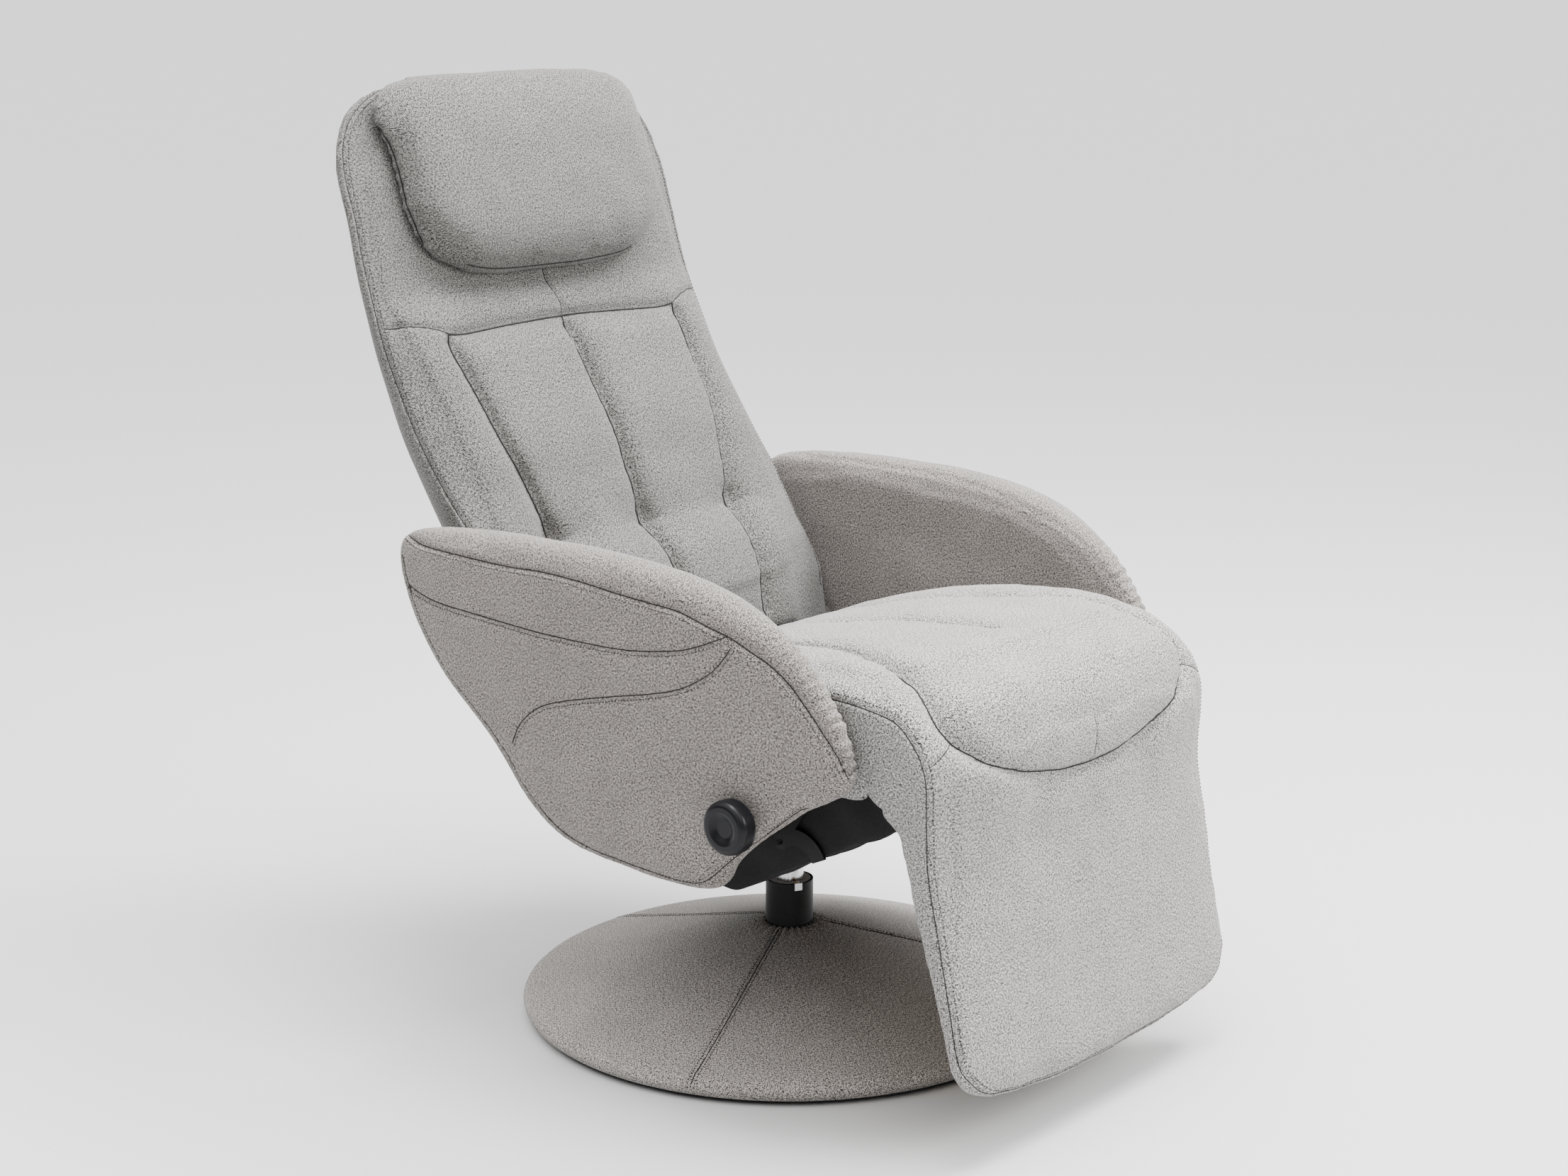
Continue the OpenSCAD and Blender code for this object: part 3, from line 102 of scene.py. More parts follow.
def material(name):
    """A new material, its node tree and its shader."""
    made = bpy.data.materials.new(name)
    made.use_nodes = True
    return made, made.node_tree, made.node_tree.nodes["Principled BSDF"]


bpy.ops.object.select_all(action="DESELECT")
bpy.ops.mesh.primitive_plane_add(size=floor_size, location=(0, 0, 0))
floor = bpy.context.object
floor.name = "floor"
floor_paint, floor_tree, floor_shader = material("pale_floor")
feed(floor_tree, floor_shader, Base_Color=(floor_grey, floor_grey, floor_grey, 1), Roughness=0.9)
floor.data.materials.append(floor_paint)
floor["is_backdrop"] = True

# The room is bright overhead and dimmer round the sides
room = bpy.data.worlds.new("room")
room.use_nodes = True
sky = room.node_tree
sky_place = sky.nodes.new("ShaderNodeTexCoord")
sky_parts = node(sky, "ShaderNodeSeparateXYZ", Vector=sky_place.outputs["Generated"])
brightness = ranged(sky, sky_parts.outputs["Z"], side_light, top_light, sky_from, sky_to)
brightness.node.interpolation_type = "SMOOTHSTEP"
feed(sky, sky.nodes["Background"], Strength=brightness, Color=(1, 1, 1, 1))
bpy.context.scene.world = room


def placed(thing):
    bpy.context.scene.collection.objects.link(thing)
    return thing


def softbox(name, place, target, size, power):
    lamp = bpy.data.lights.new(name, "AREA")
    lamp.shape = "DISK"
    lamp.size = size
    lamp.energy = power
    holder = placed(bpy.data.objects.new(name, lamp))
    holder.location = place
    holder.rotation_euler = (Vector(target) - Vector(place)).to_track_quat("-Z", "Y").to_euler()


softbox("front_lamp", (0.7, -2.5, 1.7), (0, -0.1, 0.40), 1.3, 72)
softbox("top_lamp", (0.0, -0.1, 3.4), (0, 0, 0.4), 1.6, 170)
softbox("key_lamp", (1.5, -0.9, 2.9), (0, 0, 0.4), 1.0, 140)

camera = placed(bpy.data.objects.new("camera", bpy.data.cameras.new("camera")))
look = Vector((math.sin(camera_turn) * math.cos(camera_dip),
               math.cos(camera_turn) * math.cos(camera_dip), -math.sin(camera_dip)))
camera_right = Vector((math.cos(camera_turn), -math.sin(camera_turn), 0))
camera_up = camera_right.cross(look)
camera.matrix_world = Matrix.Translation(camera_place) @ Matrix(
    (camera_right, camera_up, -look)).transposed().to_4x4()
camera.data.sensor_width = film_wide
camera.data.lens = focal_pixels * film_wide / picture_wide
bpy.context.scene.camera = camera

# Base cover: grey melange twill stretched over the round base. It is cut in three panels
# with flat topstitched seams, gathered at the column, and its edge is turned under the rim.


def choose(piece):
    bpy.ops.object.select_all(action="DESELECT")
    piece.select_set(True)
    bpy.context.view_layer.objects.active = piece


@contextmanager
def editing(piece):
    choose(piece)
    bpy.ops.object.mode_set(mode="EDIT")
    yield
    bpy.ops.object.mode_set(mode="OBJECT")


def finish_with(piece, kind, **settings):
    step = piece.modifiers.new(kind.lower(), kind)
    for key, value in settings.items():
        setattr(step, key, value)
    choose(piece)
    bpy.ops.object.modifier_apply(modifier=step.name)


def new_mesh(name, points, faces):
    mesh = bpy.data.meshes.new(name)
    mesh.from_pydata([tuple(p) for p in points], [], [tuple(f) for f in faces])
    mesh.update()
    return placed(bpy.data.objects.new(name, mesh))


def sheet_mesh(name, rows, closed=False):
    """A grid of points as a surface; closed joins each row's end to its start."""
    rows = np.asarray(rows)
    n, m = rows.shape[:2]
    faces = []
    for i in range(n - 1):
        for j in range(m if closed else m - 1):
            k = (j + 1) % m
            faces.append((i * m + j, i * m + k, (i + 1) * m + k, (i + 1) * m + j))
    return new_mesh(name, rows.reshape(-1, 3), faces)


def read_all(things, what):
    """A place or a direction of each of a mesh's parts, one per row."""
    values = np.zeros(len(things) * 3, np.float32)
    things.foreach_get(what, values)
    return values.reshape(-1, 3)


def points_of(piece):
    return read_all(piece.data.vertices, "co").astype(float)


def set_points(piece, co):
    piece.data.vertices.foreach_set("co", co.astype(np.float32).ravel())
    piece.data.update()


def normals_of(piece):
    return read_all(piece.data.vertex_normals, "vector").astype(float)


def unit(v):
    return v / (np.linalg.norm(v, axis=1)[:, None] + 1e-12)


def lengths_along(line):
    """How far along a line each of its points is."""
    return np.concatenate([[0], np.cumsum(np.linalg.norm(np.diff(line, axis=0), axis=1))])


def at_lengths(where, s, line):
    """The line's points, or point, at these lengths along it."""
    return np.stack([np.interp(where, s, line[:, k]) for k in range(3)], -1)


def tree_of(points):
    tree = KDTree(len(points))
    for i, p in enumerate(points):
        tree.insert(Vector(p), i)
    tree.balance()
    return tree


def ease(value, start, reach):
    """0 up to the start and 1 past its reach, straight between them."""
    return np.clip((value - start) / reach, 0, 1)


def shade(piece, paint):
    piece.data.materials.append(paint)
    choose(piece)
    bpy.ops.object.shade_smooth()


def fill_holes(piece, turn_out=False):
    """Closes a mesh's open edges with faces; turn_out makes all its faces point outwards."""
    with editing(piece):
        bpy.ops.mesh.select_mode(type="EDGE")
        bpy.ops.mesh.select_all(action="DESELECT")
        bpy.ops.mesh.select_non_manifold()
        bpy.ops.mesh.edge_face_add()
        if turn_out:
            bpy.ops.mesh.select_all(action="SELECT")
            bpy.ops.mesh.normals_make_consistent(inside=False)


def curve_through(points, step=0.002):
    """Even points along a smooth curve through the given ones."""
    p = np.asarray(points, float)
    p = np.vstack([2 * p[0] - p[1], p, 2 * p[-1] - p[-2]])
    out = []
    for a, b, c, d in zip(p[:-3], p[1:-2], p[2:-1], p[3:]):
        t = np.linspace(0, 1, 24, endpoint=False)[:, None]
        out.append(0.5 * (2 * b + (c - a) * t + (2 * a - 5 * b + 4 * c - d) * t * t
                          + (3 * b - a - 3 * c + d) * t ** 3))
    out = np.vstack(out + [p[-2:-1]])
    s = lengths_along(out)
    return at_lengths(np.linspace(0, s[-1], max(3, int(s[-1] / step))), s, out)


def skin_of(piece):
    co = points_of(piece)
    return BVHTree.FromPolygons([tuple(c) for c in co],
                                [tuple(f.vertices) for f in piece.data.polygons])


def shoot(skin, starts, ways):
    """Where rays meet a skin: points and normals. A ray that misses is dropped."""
    found, normal = [], []
    for a, w in zip(starts, ways):
        hit, n, _, _ = skin.ray_cast(Vector(a), Vector(w).normalized())
        if hit is not None:
            found.append(hit[:])
            normal.append(n[:])
    return np.array(found), np.array(normal)


def settle(skin, line):
    """The nearest points of a skin to a line, and the skin's normals there."""
    found = [skin.find_nearest(Vector(p)) for p in line]
    return np.array([f[0][:] for f in found]), np.array([f[1][:] for f in found])


def evened(line, rounds=3):
    line = line.copy()
    for _ in range(rounds):
        line[1:-1] = (line[:-2] + 2 * line[1:-1] + line[2:]) / 4
    return line


# a seam's raised lip, the length over which a seam fades out, and how often its puckers change
lip_high, lip_off, lip_wide = 0.0008, 0.0028, 0.0015
seam_end, pucker_run = 0.012, 0.03


def draw_in(piece, line, normal, depth, width, pucker=0.0, wave=0.011, reach=0.0, seed=0, lip=0):
    """Pulls the skin in along a sewn line, with small puckers across it and a lip on one side."""
    reach = reach or width * 3.2
    co = points_of(piece)
    low, high = line.min(0) - reach, line.max(0) + reach
    near = np.where(((co > low) & (co < high)).all(1))[0]
    if not len(near):
        return
    tree = tree_of(line)
    s = lengths_along(line)
    ends = np.minimum(1, np.minimum(s, s[-1] - s) / seam_end + 0.15)
    rnd = np.random.default_rng(seed + 7)
    beat = np.cumsum(rnd.uniform(0.7, 1.35, len(s)) * np.gradient(s)) * 2 * math.pi / wave
    across = np.cross(normal, unit(np.gradient(line, axis=0)))
    marks = max(3, int(s[-1] / pucker_run))
    size = np.interp(s, np.linspace(0, s[-1], marks), rnd.uniform(0.35, 1.0, marks))
    for v in near:
        _, i, d = tree.find(Vector(co[v]))
        if d < reach:
            drop = depth * math.exp(-(d / width) ** 2)
            if pucker:
                drop += pucker * size[i] * math.exp(-(d / reach * 1.9) ** 2) * (
                    0.5 + 0.5 * math.sin(beat[i])) * min(1, d / width * 1.5)
            if lip:
                aside = (co[v] - line[i]) @ across[i] * lip
                drop -= lip_high * math.exp(-((aside - lip_off) / lip_wide) ** 2)
            co[v] -= normal[i] * drop * ends[i]
    set_points(piece, co)


def cord_mesh(line, radius, sides=5):
    """Points and faces of a thin round cord along a line."""
    tangent = unit(np.gradient(line, axis=0))
    side = np.cross(tangent, [0.31, 0.22, 0.92])
    flat = np.linalg.norm(side, axis=1) < 0.2
    side[flat] = np.cross(tangent[flat], [0.9, 0.1, 0.1])
    side /= np.linalg.norm(side, axis=1)[:, None]
    lift = np.cross(tangent, side)
    n = len(line)
    r = np.full(n, radius)
    r[[0, -1]] *= 0.2
    turn = np.arange(sides) * 2 * math.pi / sides
    points = (line[:, None] + r[:, None, None] * (np.cos(turn)[None, :, None] * side[:, None]
                                                 + np.sin(turn)[None, :, None] * lift[:, None]))
    faces = [(i * sides + j, i * sides + (j + 1) % sides, (i + 1) * sides + (j + 1) % sides,
              (i + 1) * sides + j) for i in range(n - 1) for j in range(sides)]
    faces += [tuple(range(sides))[::-1], tuple((n - 1) * sides + j for j in range(sides))]
    return points.reshape(-1, 3), faces


def stitch_mesh(line, normal, pitch=0.0042, length=0.0027, thick=0.0006):
    """Points and faces of a row of thread stitches that lie on the cloth along a line."""
    s = lengths_along(line)
    places = np.arange(pitch / 2, s[-1], pitch)
    form = [(-1, 0, 0)] + [(x, math.cos(a), math.sin(a)) for x in (-0.6, 0.6)
                           for a in (0, 1.257, 2.513, 3.77, 5.027)] + [(1, 0, 0)]
    hull = [(0, 1 + (k + 1) % 5, 1 + k) for k in range(5)]
    hull += [(1 + k, 1 + (k + 1) % 5, 6 + (k + 1) % 5, 6 + k) for k in range(5)]
    hull += [(11, 6 + k, 6 + (k + 1) % 5) for k in range(5)]
    points, faces = [], []
    for at in places:
        p, n = at_lengths(at, s, line), at_lengths(at, s, normal)
        t = at_lengths(at + 0.001, s, line) - p
        if np.linalg.norm(t) < 1e-6:
            continue
        t /= np.linalg.norm(t)
        n -= t * (n @ t)
        n /= np.linalg.norm(n) + 1e-9
        b = np.cross(n, t)
        first = len(points)
        for x, y, z in form:
            points.append(p + t * x * length / 2 + (b * y + n * z) * thick + n * thick * 0.3)
        faces += [tuple(first + i for i in f) for f in hull]
    return points, faces


def lay_on(skin, line, normal):
    """The line laid on the skin along its normals, so that it keeps its course."""
    laid = line.copy()
    for i, (p, n) in enumerate(zip(line, normal)):
        hit, _, _, _ = skin.ray_cast(Vector(p + n * 0.012), Vector(-n), 0.03)
        if hit is not None:
            laid[i] = hit[:]
    return laid


def finer(piece, lines, reach):
    """Splits the faces near the lines once, so that they can take a narrow seam."""
    mesh = piece.data
    tree = tree_of(np.vstack([line[::2] for line in lines]))
    close = [tree.find(Vector(c))[2] < reach for c in read_all(mesh.polygons, "center")]
    for kind in (mesh.vertices, mesh.edges):
        kind.foreach_set("select", np.zeros(len(kind), bool))
    mesh.polygons.foreach_set("select", np.array(close))
    with editing(piece):
        bpy.ops.mesh.select_mode(type="FACE")
        bpy.ops.mesh.subdivide(number_cuts=1)


class Sewing:
    """What is sewn on one piece: seams that draw it in, near-black cords in the seams' grooves that
    paint their creases' shade, and rows of stitches.
    """

    def __init__(self, piece):
        self.piece = piece
        self.seams = []

    # thread is the radius of the near-black cord laid in the seam's groove: painted shade of the
    # crease
    def seam(self, line, normal, depth, width, pucker=0.0, wave=0.011, reach=0.0,
             rows=(), thread=0.0007, seed=0):
        line, normal = evened(line, 6), unit(evened(normal, 12))
        self.seams.append((line, normal, depth, width, pucker, wave, reach, rows, thread, seed))

    def close(self):
        finer(self.piece, [s[0] for s in self.seams], 0.009)
        for line, normal, depth, width, pucker, wave, reach, rows, _, seed in self.seams:
            lip = -np.sign(rows[0]) if len(rows) else 0
            draw_in(self.piece, line, normal, depth, width, pucker, wave, reach, seed, lip)
        skin = skin_of(self.piece)
        dark = [[], []]
        sewn = [[], []]

        def add(group, points, faces):
            first = len(group[0])
            group[0].extend(points)
            group[1].extend(tuple(first + i for i in f) for f in faces)

        for line, normal, _, _, _, _, _, rows, thread, _ in self.seams:
            # a near-black cord along the groove: painted shade of the seam's crease
            if thread:
                laid = evened(lay_on(skin, line, normal), 3)
                add(dark, *cord_mesh(laid + normal * thread * 0.25, thread))
            across = np.cross(normal, unit(np.gradient(line, axis=0)))
            for gap in rows:
                row = evened(lay_on(skin, line + across * gap, normal), 2)
                add(sewn, *stitch_mesh(row, normal))
        made = []
        for ending, (p, f), paint in (("_seams", dark, seam_shadow_paint),
                                      ("_stitches", sewn, thread_shade)):
            if p:
                part = new_mesh(self.piece.name + ending, p, f)
                shade(part, paint)
                made.append(part)
        return made


def coloured(tree, value, *stops):
    """A colour for a value, by stops of (place, colour); the first and the last are the ends."""
    made = node(tree, "ShaderNodeValToRGB", Fac=value)
    ends = list(made.color_ramp.elements)
    for k, (at, colour) in enumerate((stops[0], stops[-1])):
        ends[k].position = at
        ends[k].color = (*colour, 1)
    for at, colour in stops[1:-1]:
        made.color_ramp.elements.new(at).color = (*colour, 1)
    return made.outputs["Color"]


def roughen(tree, height, strength, depth):
    """Feeds a relief to the shader's normal."""
    made = node(tree, "ShaderNodeBump", Strength=strength, Distance=depth, Height=height)
    feed(tree, tree.nodes["Principled BSDF"], Normal=made.outputs["Normal"])


# The cloth's weave: flecked yarns over and under each other, read from a map in metres
weave = bpy.data.node_groups.new("flecked_weave", "ShaderNodeTree")
weave.interface.new_socket("Map", in_out="INPUT", socket_type="NodeSocketVector")
for label in ("Fleck", "Relief"):
    weave.interface.new_socket(label, in_out="OUTPUT", socket_type="NodeSocketFloat")
weave_map = weave.nodes.new("NodeGroupInput").outputs["Map"]
group_out = weave.nodes.new("NodeGroupOutput")


def maths(action, a, b=None):
    made = weave.nodes.new("ShaderNodeMath")
    made.operation = action
    for i, value in enumerate((a, b)):
        if isinstance(value, (int, float)):
            made.inputs[i].default_value = value
        elif value is not None:
            weave.links.new(value, made.inputs[i])
    return made.outputs[0]


yarn_pair, yarn_fleck, yarn_shape = 0.0018, 900.0, 0.56
apart = node(weave, "ShaderNodeSeparateXYZ", Vector=weave_map)
wobble = node(weave, "ShaderNodeTexNoise", Scale=90.0, Detail=1.0, Vector=weave_map)
sway = maths("MULTIPLY", wobble.outputs["Fac"], 3.0)
waves = []
for axis in ("X", "Y"):
    turn = maths("MULTIPLY", apart.outputs[axis], 2 * math.pi / yarn_pair)
    waves.append(maths("SINE", maths("ADD", turn, sway)))
check = maths("MULTIPLY", *waves)


def yarns(scale, stretch, offset):
    """Fleck of the yarns that run one way."""
    drawn = node(weave, "ShaderNodeMapping", Scale=stretch, Location=offset, Vector=weave_map)
    return node(weave, "ShaderNodeTexNoise", Scale=scale, Detail=2.0, Roughness=0.7,
                Vector=drawn.outputs[0]).outputs["Fac"]


chosen = weave.nodes.new("ShaderNodeMix")
chosen.data_type = "FLOAT"
feed(weave, chosen, Factor=ranged(weave, check, 0, 1, -0.25, 0.25),
     A=yarns(yarn_fleck, (1.0, yarn_shape, 1.0), (0, 0, 0)),
     B=yarns(yarn_fleck, (yarn_shape, 1.0, 1.0), (3.1, 1.7, 0.4)))
patch = yarns(420.0, (1.0, 0.8, 1.0), (7.3, 2.2, 1.1))
fleck_sum = maths("ADD", maths("MULTIPLY", chosen.outputs["Result"], 0.80),
                  maths("MULTIPLY", patch, 0.20))
feed(weave, group_out, Fleck=maths("ADD", fleck_sum, maths("MULTIPLY", check, 0.060)),
     Relief=maths("ADD", maths("MULTIPLY", check, 0.5),
                  maths("MULTIPLY", chosen.outputs["Result"], 0.6)))


def upholstery(name, dark, middle, light, marks=(0.43, 0.493, 0.56)):
    """Flecked cloth: light and dark yarns, a faint unevenness of the dye, a soft nap."""
    made, tree, shader = material(name)
    chart = tree.nodes.new("ShaderNodeUVMap")
    chart.uv_map = "Weave"
    cloth = tree.nodes.new("ShaderNodeGroup")
    cloth.node_tree = weave
    feed(tree, cloth, Map=chart.outputs["UV"])
    fleck = cloth.outputs["Fleck"]
    place = tree.nodes.new("ShaderNodeTexCoord")
    cloudy = node(tree, "ShaderNodeTexNoise", Scale=26.0, Detail=3.0, Roughness=0.55,
                  Vector=place.outputs["Object"])
    dyed = tree.nodes.new("ShaderNodeMix")
    dyed.data_type = "RGBA"
    dyed.blend_type = "MULTIPLY"
    feed(tree, dyed, Factor=1.0, A=coloured(tree, fleck, *zip(marks, (dark, middle, light))),
         B=ranged(tree, cloudy.outputs["Fac"], 0.93, 1.06, 0.3, 0.7))
    feed(tree, shader, Base_Color=dyed.outputs["Result"], Roughness=ranged(tree, fleck, 0.82, 0.97),
         Sheen_Weight=0.1, Sheen_Roughness=0.5, Specular_IOR_Level=0.2)
    roughen(tree, cloth.outputs["Relief"], 0.35, 0.0003)
    return made


def plain_shade(name, colour, rough, grain, depth):
    """A plain material with a fine grain in its colour and surface."""
    made, tree, shader = material(name)
    place = tree.nodes.new("ShaderNodeTexCoord")
    value = node(tree, "ShaderNodeTexNoise", Scale=grain, Detail=4.0, Roughness=0.6,
                 Vector=place.outputs["Object"]).outputs["Fac"]
    feed(tree, shader, Roughness=ranged(tree, value, max(0.02, rough - 0.1), min(1, rough + 0.1)),
         Base_Color=coloured(tree, value, (0.3, [c * 0.72 for c in colour]),
                             (0.72, [min(1, c * 1.25) for c in colour])))
    roughen(tree, value, 0.4, depth)
    return made


seat_cloth = upholstery("seat_cloth", (0.008, 0.0075, 0.0069), (0.145, 0.138, 0.130),
                        (0.56, 0.542, 0.523), (0.448, 0.505, 0.56))
# the back's and head's cloth is the seat's fabric made darker: painted shade
back_cloth = upholstery("back_cloth", (0.0045, 0.0042, 0.0039), (0.062, 0.0585, 0.0543),
                        (0.245, 0.236, 0.226))
# the arms' cloth is the seat's fabric, warmer and darker; its darkness is painted shade for the
# dimmer light on the arms' sides
arm_cloth = upholstery("arm_cloth", (0.0080, 0.0069, 0.0061), (0.102, 0.0905, 0.0817),
                       (0.365, 0.338, 0.315))
# the base's cloth is the seat's fabric made lighter: painted light
base_cloth_painted_light = upholstery("base_cloth", (0.016, 0.0143, 0.0129), (0.172, 0.155, 0.141),
                        (0.53, 0.498, 0.469))
# the seam cords' near-black colour: painted shade of the seams' creases
seam_shadow_paint = plain_shade("seam_shadow", (0.007, 0.006, 0.0055), 0.9, 900, 0.0001)
thread_shade = plain_shade("sewing_thread", (0.013, 0.011, 0.010), 0.75, 1500, 0.0001)


def lay_weave(piece, along_side):
    """The cloth's map in metres: from above, from in front, or from the side, as a face looks."""
    mesh = piece.data
    chart = mesh.uv_layers.get("Weave") or mesh.uv_layers.new(name="Weave")
    co = points_of(piece)
    count = len(mesh.loops)
    corner = np.zeros(count, np.int32)
    mesh.loops.foreach_get("vertex_index", corner)
    totals = np.zeros(len(mesh.polygons), np.int32)
    mesh.polygons.foreach_get("loop_total", totals)
    p = co[corner]
    wide = np.abs(np.repeat(read_all(mesh.polygons, "normal"), totals, axis=0))
    uv = np.where((wide[:, 0] > along_side)[:, None], p[:, [1, 2]],
                  np.where((wide[:, 2] > wide[:, 1])[:, None], p[:, [0, 1]], p[:, [0, 2]]))
    chart.data.foreach_set("uv", uv.astype(np.float32).ravel())


rim_profile = [(0.0273, 0.0985), (0.031, 0.0984), (0.036, 0.0972), (0.060, 0.0906),
               (0.110, 0.0768), (0.170, 0.0602), (0.230, 0.0437), (0.262, 0.0348), (0.280, 0.0299),
               (0.291, 0.0268), (0.299, 0.0224), (0.3028, 0.0170), (0.3015, 0.0105),
               (0.297, 0.0062), (0.290, 0.0052), (0.284, 0.0052)]
cover_seams = [math.radians(a) for a in (84, 200, 317)]
outline = curve_through([(r, 0, z) for r, z in rim_profile], 0.0042)
turns = 420
rows = []
for r, _, z in outline:
    a = np.arange(turns) * 2 * math.pi / turns
    neck = math.exp(-((r - 0.03) / 0.018) ** 2)
    gather = neck * 0.0012 * np.sin(26 * a + 0.7 * np.sin(3 * a))
    sag = 0.0005 * np.sin(2 * a + 1.1) * math.exp(-((r - 0.19) / 0.08) ** 2)
    rows.append(np.stack([r * np.cos(a), r * np.sin(a), z + gather + sag], 1))
base_cloth = sheet_mesh("base_cloth", rows[::-1], closed=True)
base_skin = skin_of(base_cloth)
base_sewing = Sewing(base_cloth)
for k, a in enumerate(cover_seams):
    bend = [(r, a + 0.02 * math.sin((r - 0.03) * 9)) for r in np.linspace(0.034, 0.299, 60)]
    hits, up = shoot(base_skin, [(r * math.cos(b), r * math.sin(b), 0.2) for r, b in bend],
                     [(0, 0, -1)] * len(bend))
    end = bend[-1][1]
    hits = np.vstack([hits, [[0.3025 * math.cos(end), 0.3025 * math.sin(end), 0.016]]])
    run = curve_through(hits)
    run, up = settle(base_skin, run)
    base_sewing.seam(run, up, 0.0011, 0.0013, pucker=0.0007, wave=0.016, reach=0.014,
                     rows=(-0.0042, 0.0042), seed=k)
base_seam_shadows_and_stitches = base_sewing.close()
finish_with(base_cloth, "SOLIDIFY", thickness=0.0018, offset=-1)


def upholster(piece, cloth, seam_shadows_and_stitches, body, hidden, along_side):
    """Gives a padded piece its cloth, and fixes it and what is sewn on it to a body."""
    lay_weave(piece, along_side)
    shade(piece, cloth)
    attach(piece, body)
    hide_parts(*hidden)
    for part in seam_shadows_and_stitches:
        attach(part, body)


# the base's lighter cloth is painted light
upholster(base_cloth, base_cloth_painted_light, base_seam_shadows_and_stitches, "base", ["base_cover"], 0.72)

# Seat and footrest: foam under one stretched cloth. It is made as one body from the three
# CAD solids, smoothed, swollen as stuffing does and sewn, and then cut at the footrest's hinge.


def stuffing(name, nodes, voxel, thinner, rounds, extra=()):
    """The CAD solids of these nodes fused and evened out, a little smaller than they are."""
    points, faces = [], []
    for mesh in [frame["nodes"][n].data for n in nodes] + [form.data for form in extra]:
        first = len(points)
        points += [v.co[:] for v in mesh.vertices]
        faces += [tuple(first + i for i in f.vertices) for f in mesh.polygons]
    piece = new_mesh(name, points, faces)
    for form in extra:
        bpy.data.objects.remove(form)
    with editing(piece):
        bpy.ops.mesh.select_all(action="SELECT")
        bpy.ops.mesh.remove_doubles(threshold=0.00001)
    finish_with(piece, "REMESH", mode="VOXEL", voxel_size=voxel)
    finish_with(piece, "SMOOTH", factor=0.5, iterations=rounds)
    set_points(piece, points_of(piece) - normals_of(piece) * thinner)
    return piece


least_swell, quick_swell, swell_frames = 0.0026, 0.0035, 20


def swell(piece, limit):
    """Blows the cloth up from inside, as stuffing fills it, no further than the limit."""
    rest = points_of(piece)
    out = normals_of(piece)
    cloth = piece.modifiers.new("swelling", "CLOTH")
    cloth.settings.effector_weights.gravity = 0
    for key, value in dict(use_pressure=True, uniform_pressure_force=4.0, quality=4, mass=0.4,
                           tension_stiffness=22, compression_stiffness=22,
                           bending_stiffness=4).items():
        setattr(cloth.settings, key, value)
    cloth.point_cache.frame_start = 1
    cloth.point_cache.frame_end = swell_frames
    scene = bpy.context.scene
    for f in range(1, swell_frames + 1):
        scene.frame_set(f)
    choose(piece)
    bpy.ops.object.modifier_apply(modifier=cloth.name)
    scene.frame_set(1)
    lift = ((points_of(piece) - rest) * out).sum(1)
    move = out * np.clip(lift, least_swell, limit)[:, None]
    set_points(piece, rest + move)
    finish_with(piece, "SUBSURF", levels=1, render_levels=1)


def crumple(piece, amount, size, seed):
    """A very slight unevenness of the stuffing."""
    co = points_of(piece)
    n = normals_of(piece)
    lift = [noise.noise(Vector(c) / size + Vector((seed, seed, seed))) for c in co]
    set_points(piece, co + n * np.array(lift)[:, None] * amount)


hinge = np.array([0, -0.330, 0.385])
seat = stuffing("seat_and_footrest", ["seat_cushion", "front_roll", "foot_pad"], 0.006, 0.0035, 14)
seat_under = curve_through([(0, -0.304, 0.371), (0, 0.118, 0.334)], 0.05)


def cover_board(co):
    """Draws the cloth's lower side edge down over the seat board's edge."""
    under = np.interp(co[:, 1], seat_under[:, 1], seat_under[:, 2])
    beside_it = ease(np.abs(co[:, 0]), 0.232, 0.008)
    low_part = np.clip((under + 0.024 - co[:, 2]) / 0.016, 0, 1)
    behind = ease(co[:, 1], -0.314, 0.010)
    co = co.copy()
    co[:, 2] -= 0.025 * beside_it * low_part * behind
    return co


set_points(seat, cover_board(points_of(seat)))
# its rear corners stand a little higher, beside the back
co = points_of(seat)
co[:, 2] += 0.019 * ease(co[:, 1], 0.03, 0.06) * ease(np.abs(co[:, 0]), 0.190, 0.035) * (
    co[:, 2] > 0.43)
set_points(seat, co)
swell(seat, 0.006)
crumple(seat, 0.0022, 0.075, 3.0)
crumple(seat, 0.0007, 0.022, 13.0)


def from_above(skin, places):
    return shoot(skin, [(x, y, 0.8) for x, y in places], [(0, 0, -1)] * len(places))


def round_hinge(skin, places):
    starts, ways = [], []
    for x, a in places:
        a = math.radians(a)
        way = np.array([0, math.cos(a), -math.sin(a)])
        starts.append(hinge + np.array([x, 0, 0]) - way * 0.2)
        ways.append(way)
    return shoot(skin, starts, ways)


seat_skin = skin_of(seat)
seat_sewing = Sewing(seat)


def seat_line(*groups):
    """One smooth line on the seat's skin through points found in several ways."""
    hits = np.vstack([g[0] for g in groups])
    run = curve_through(hits)
    return settle(seat_skin, run)


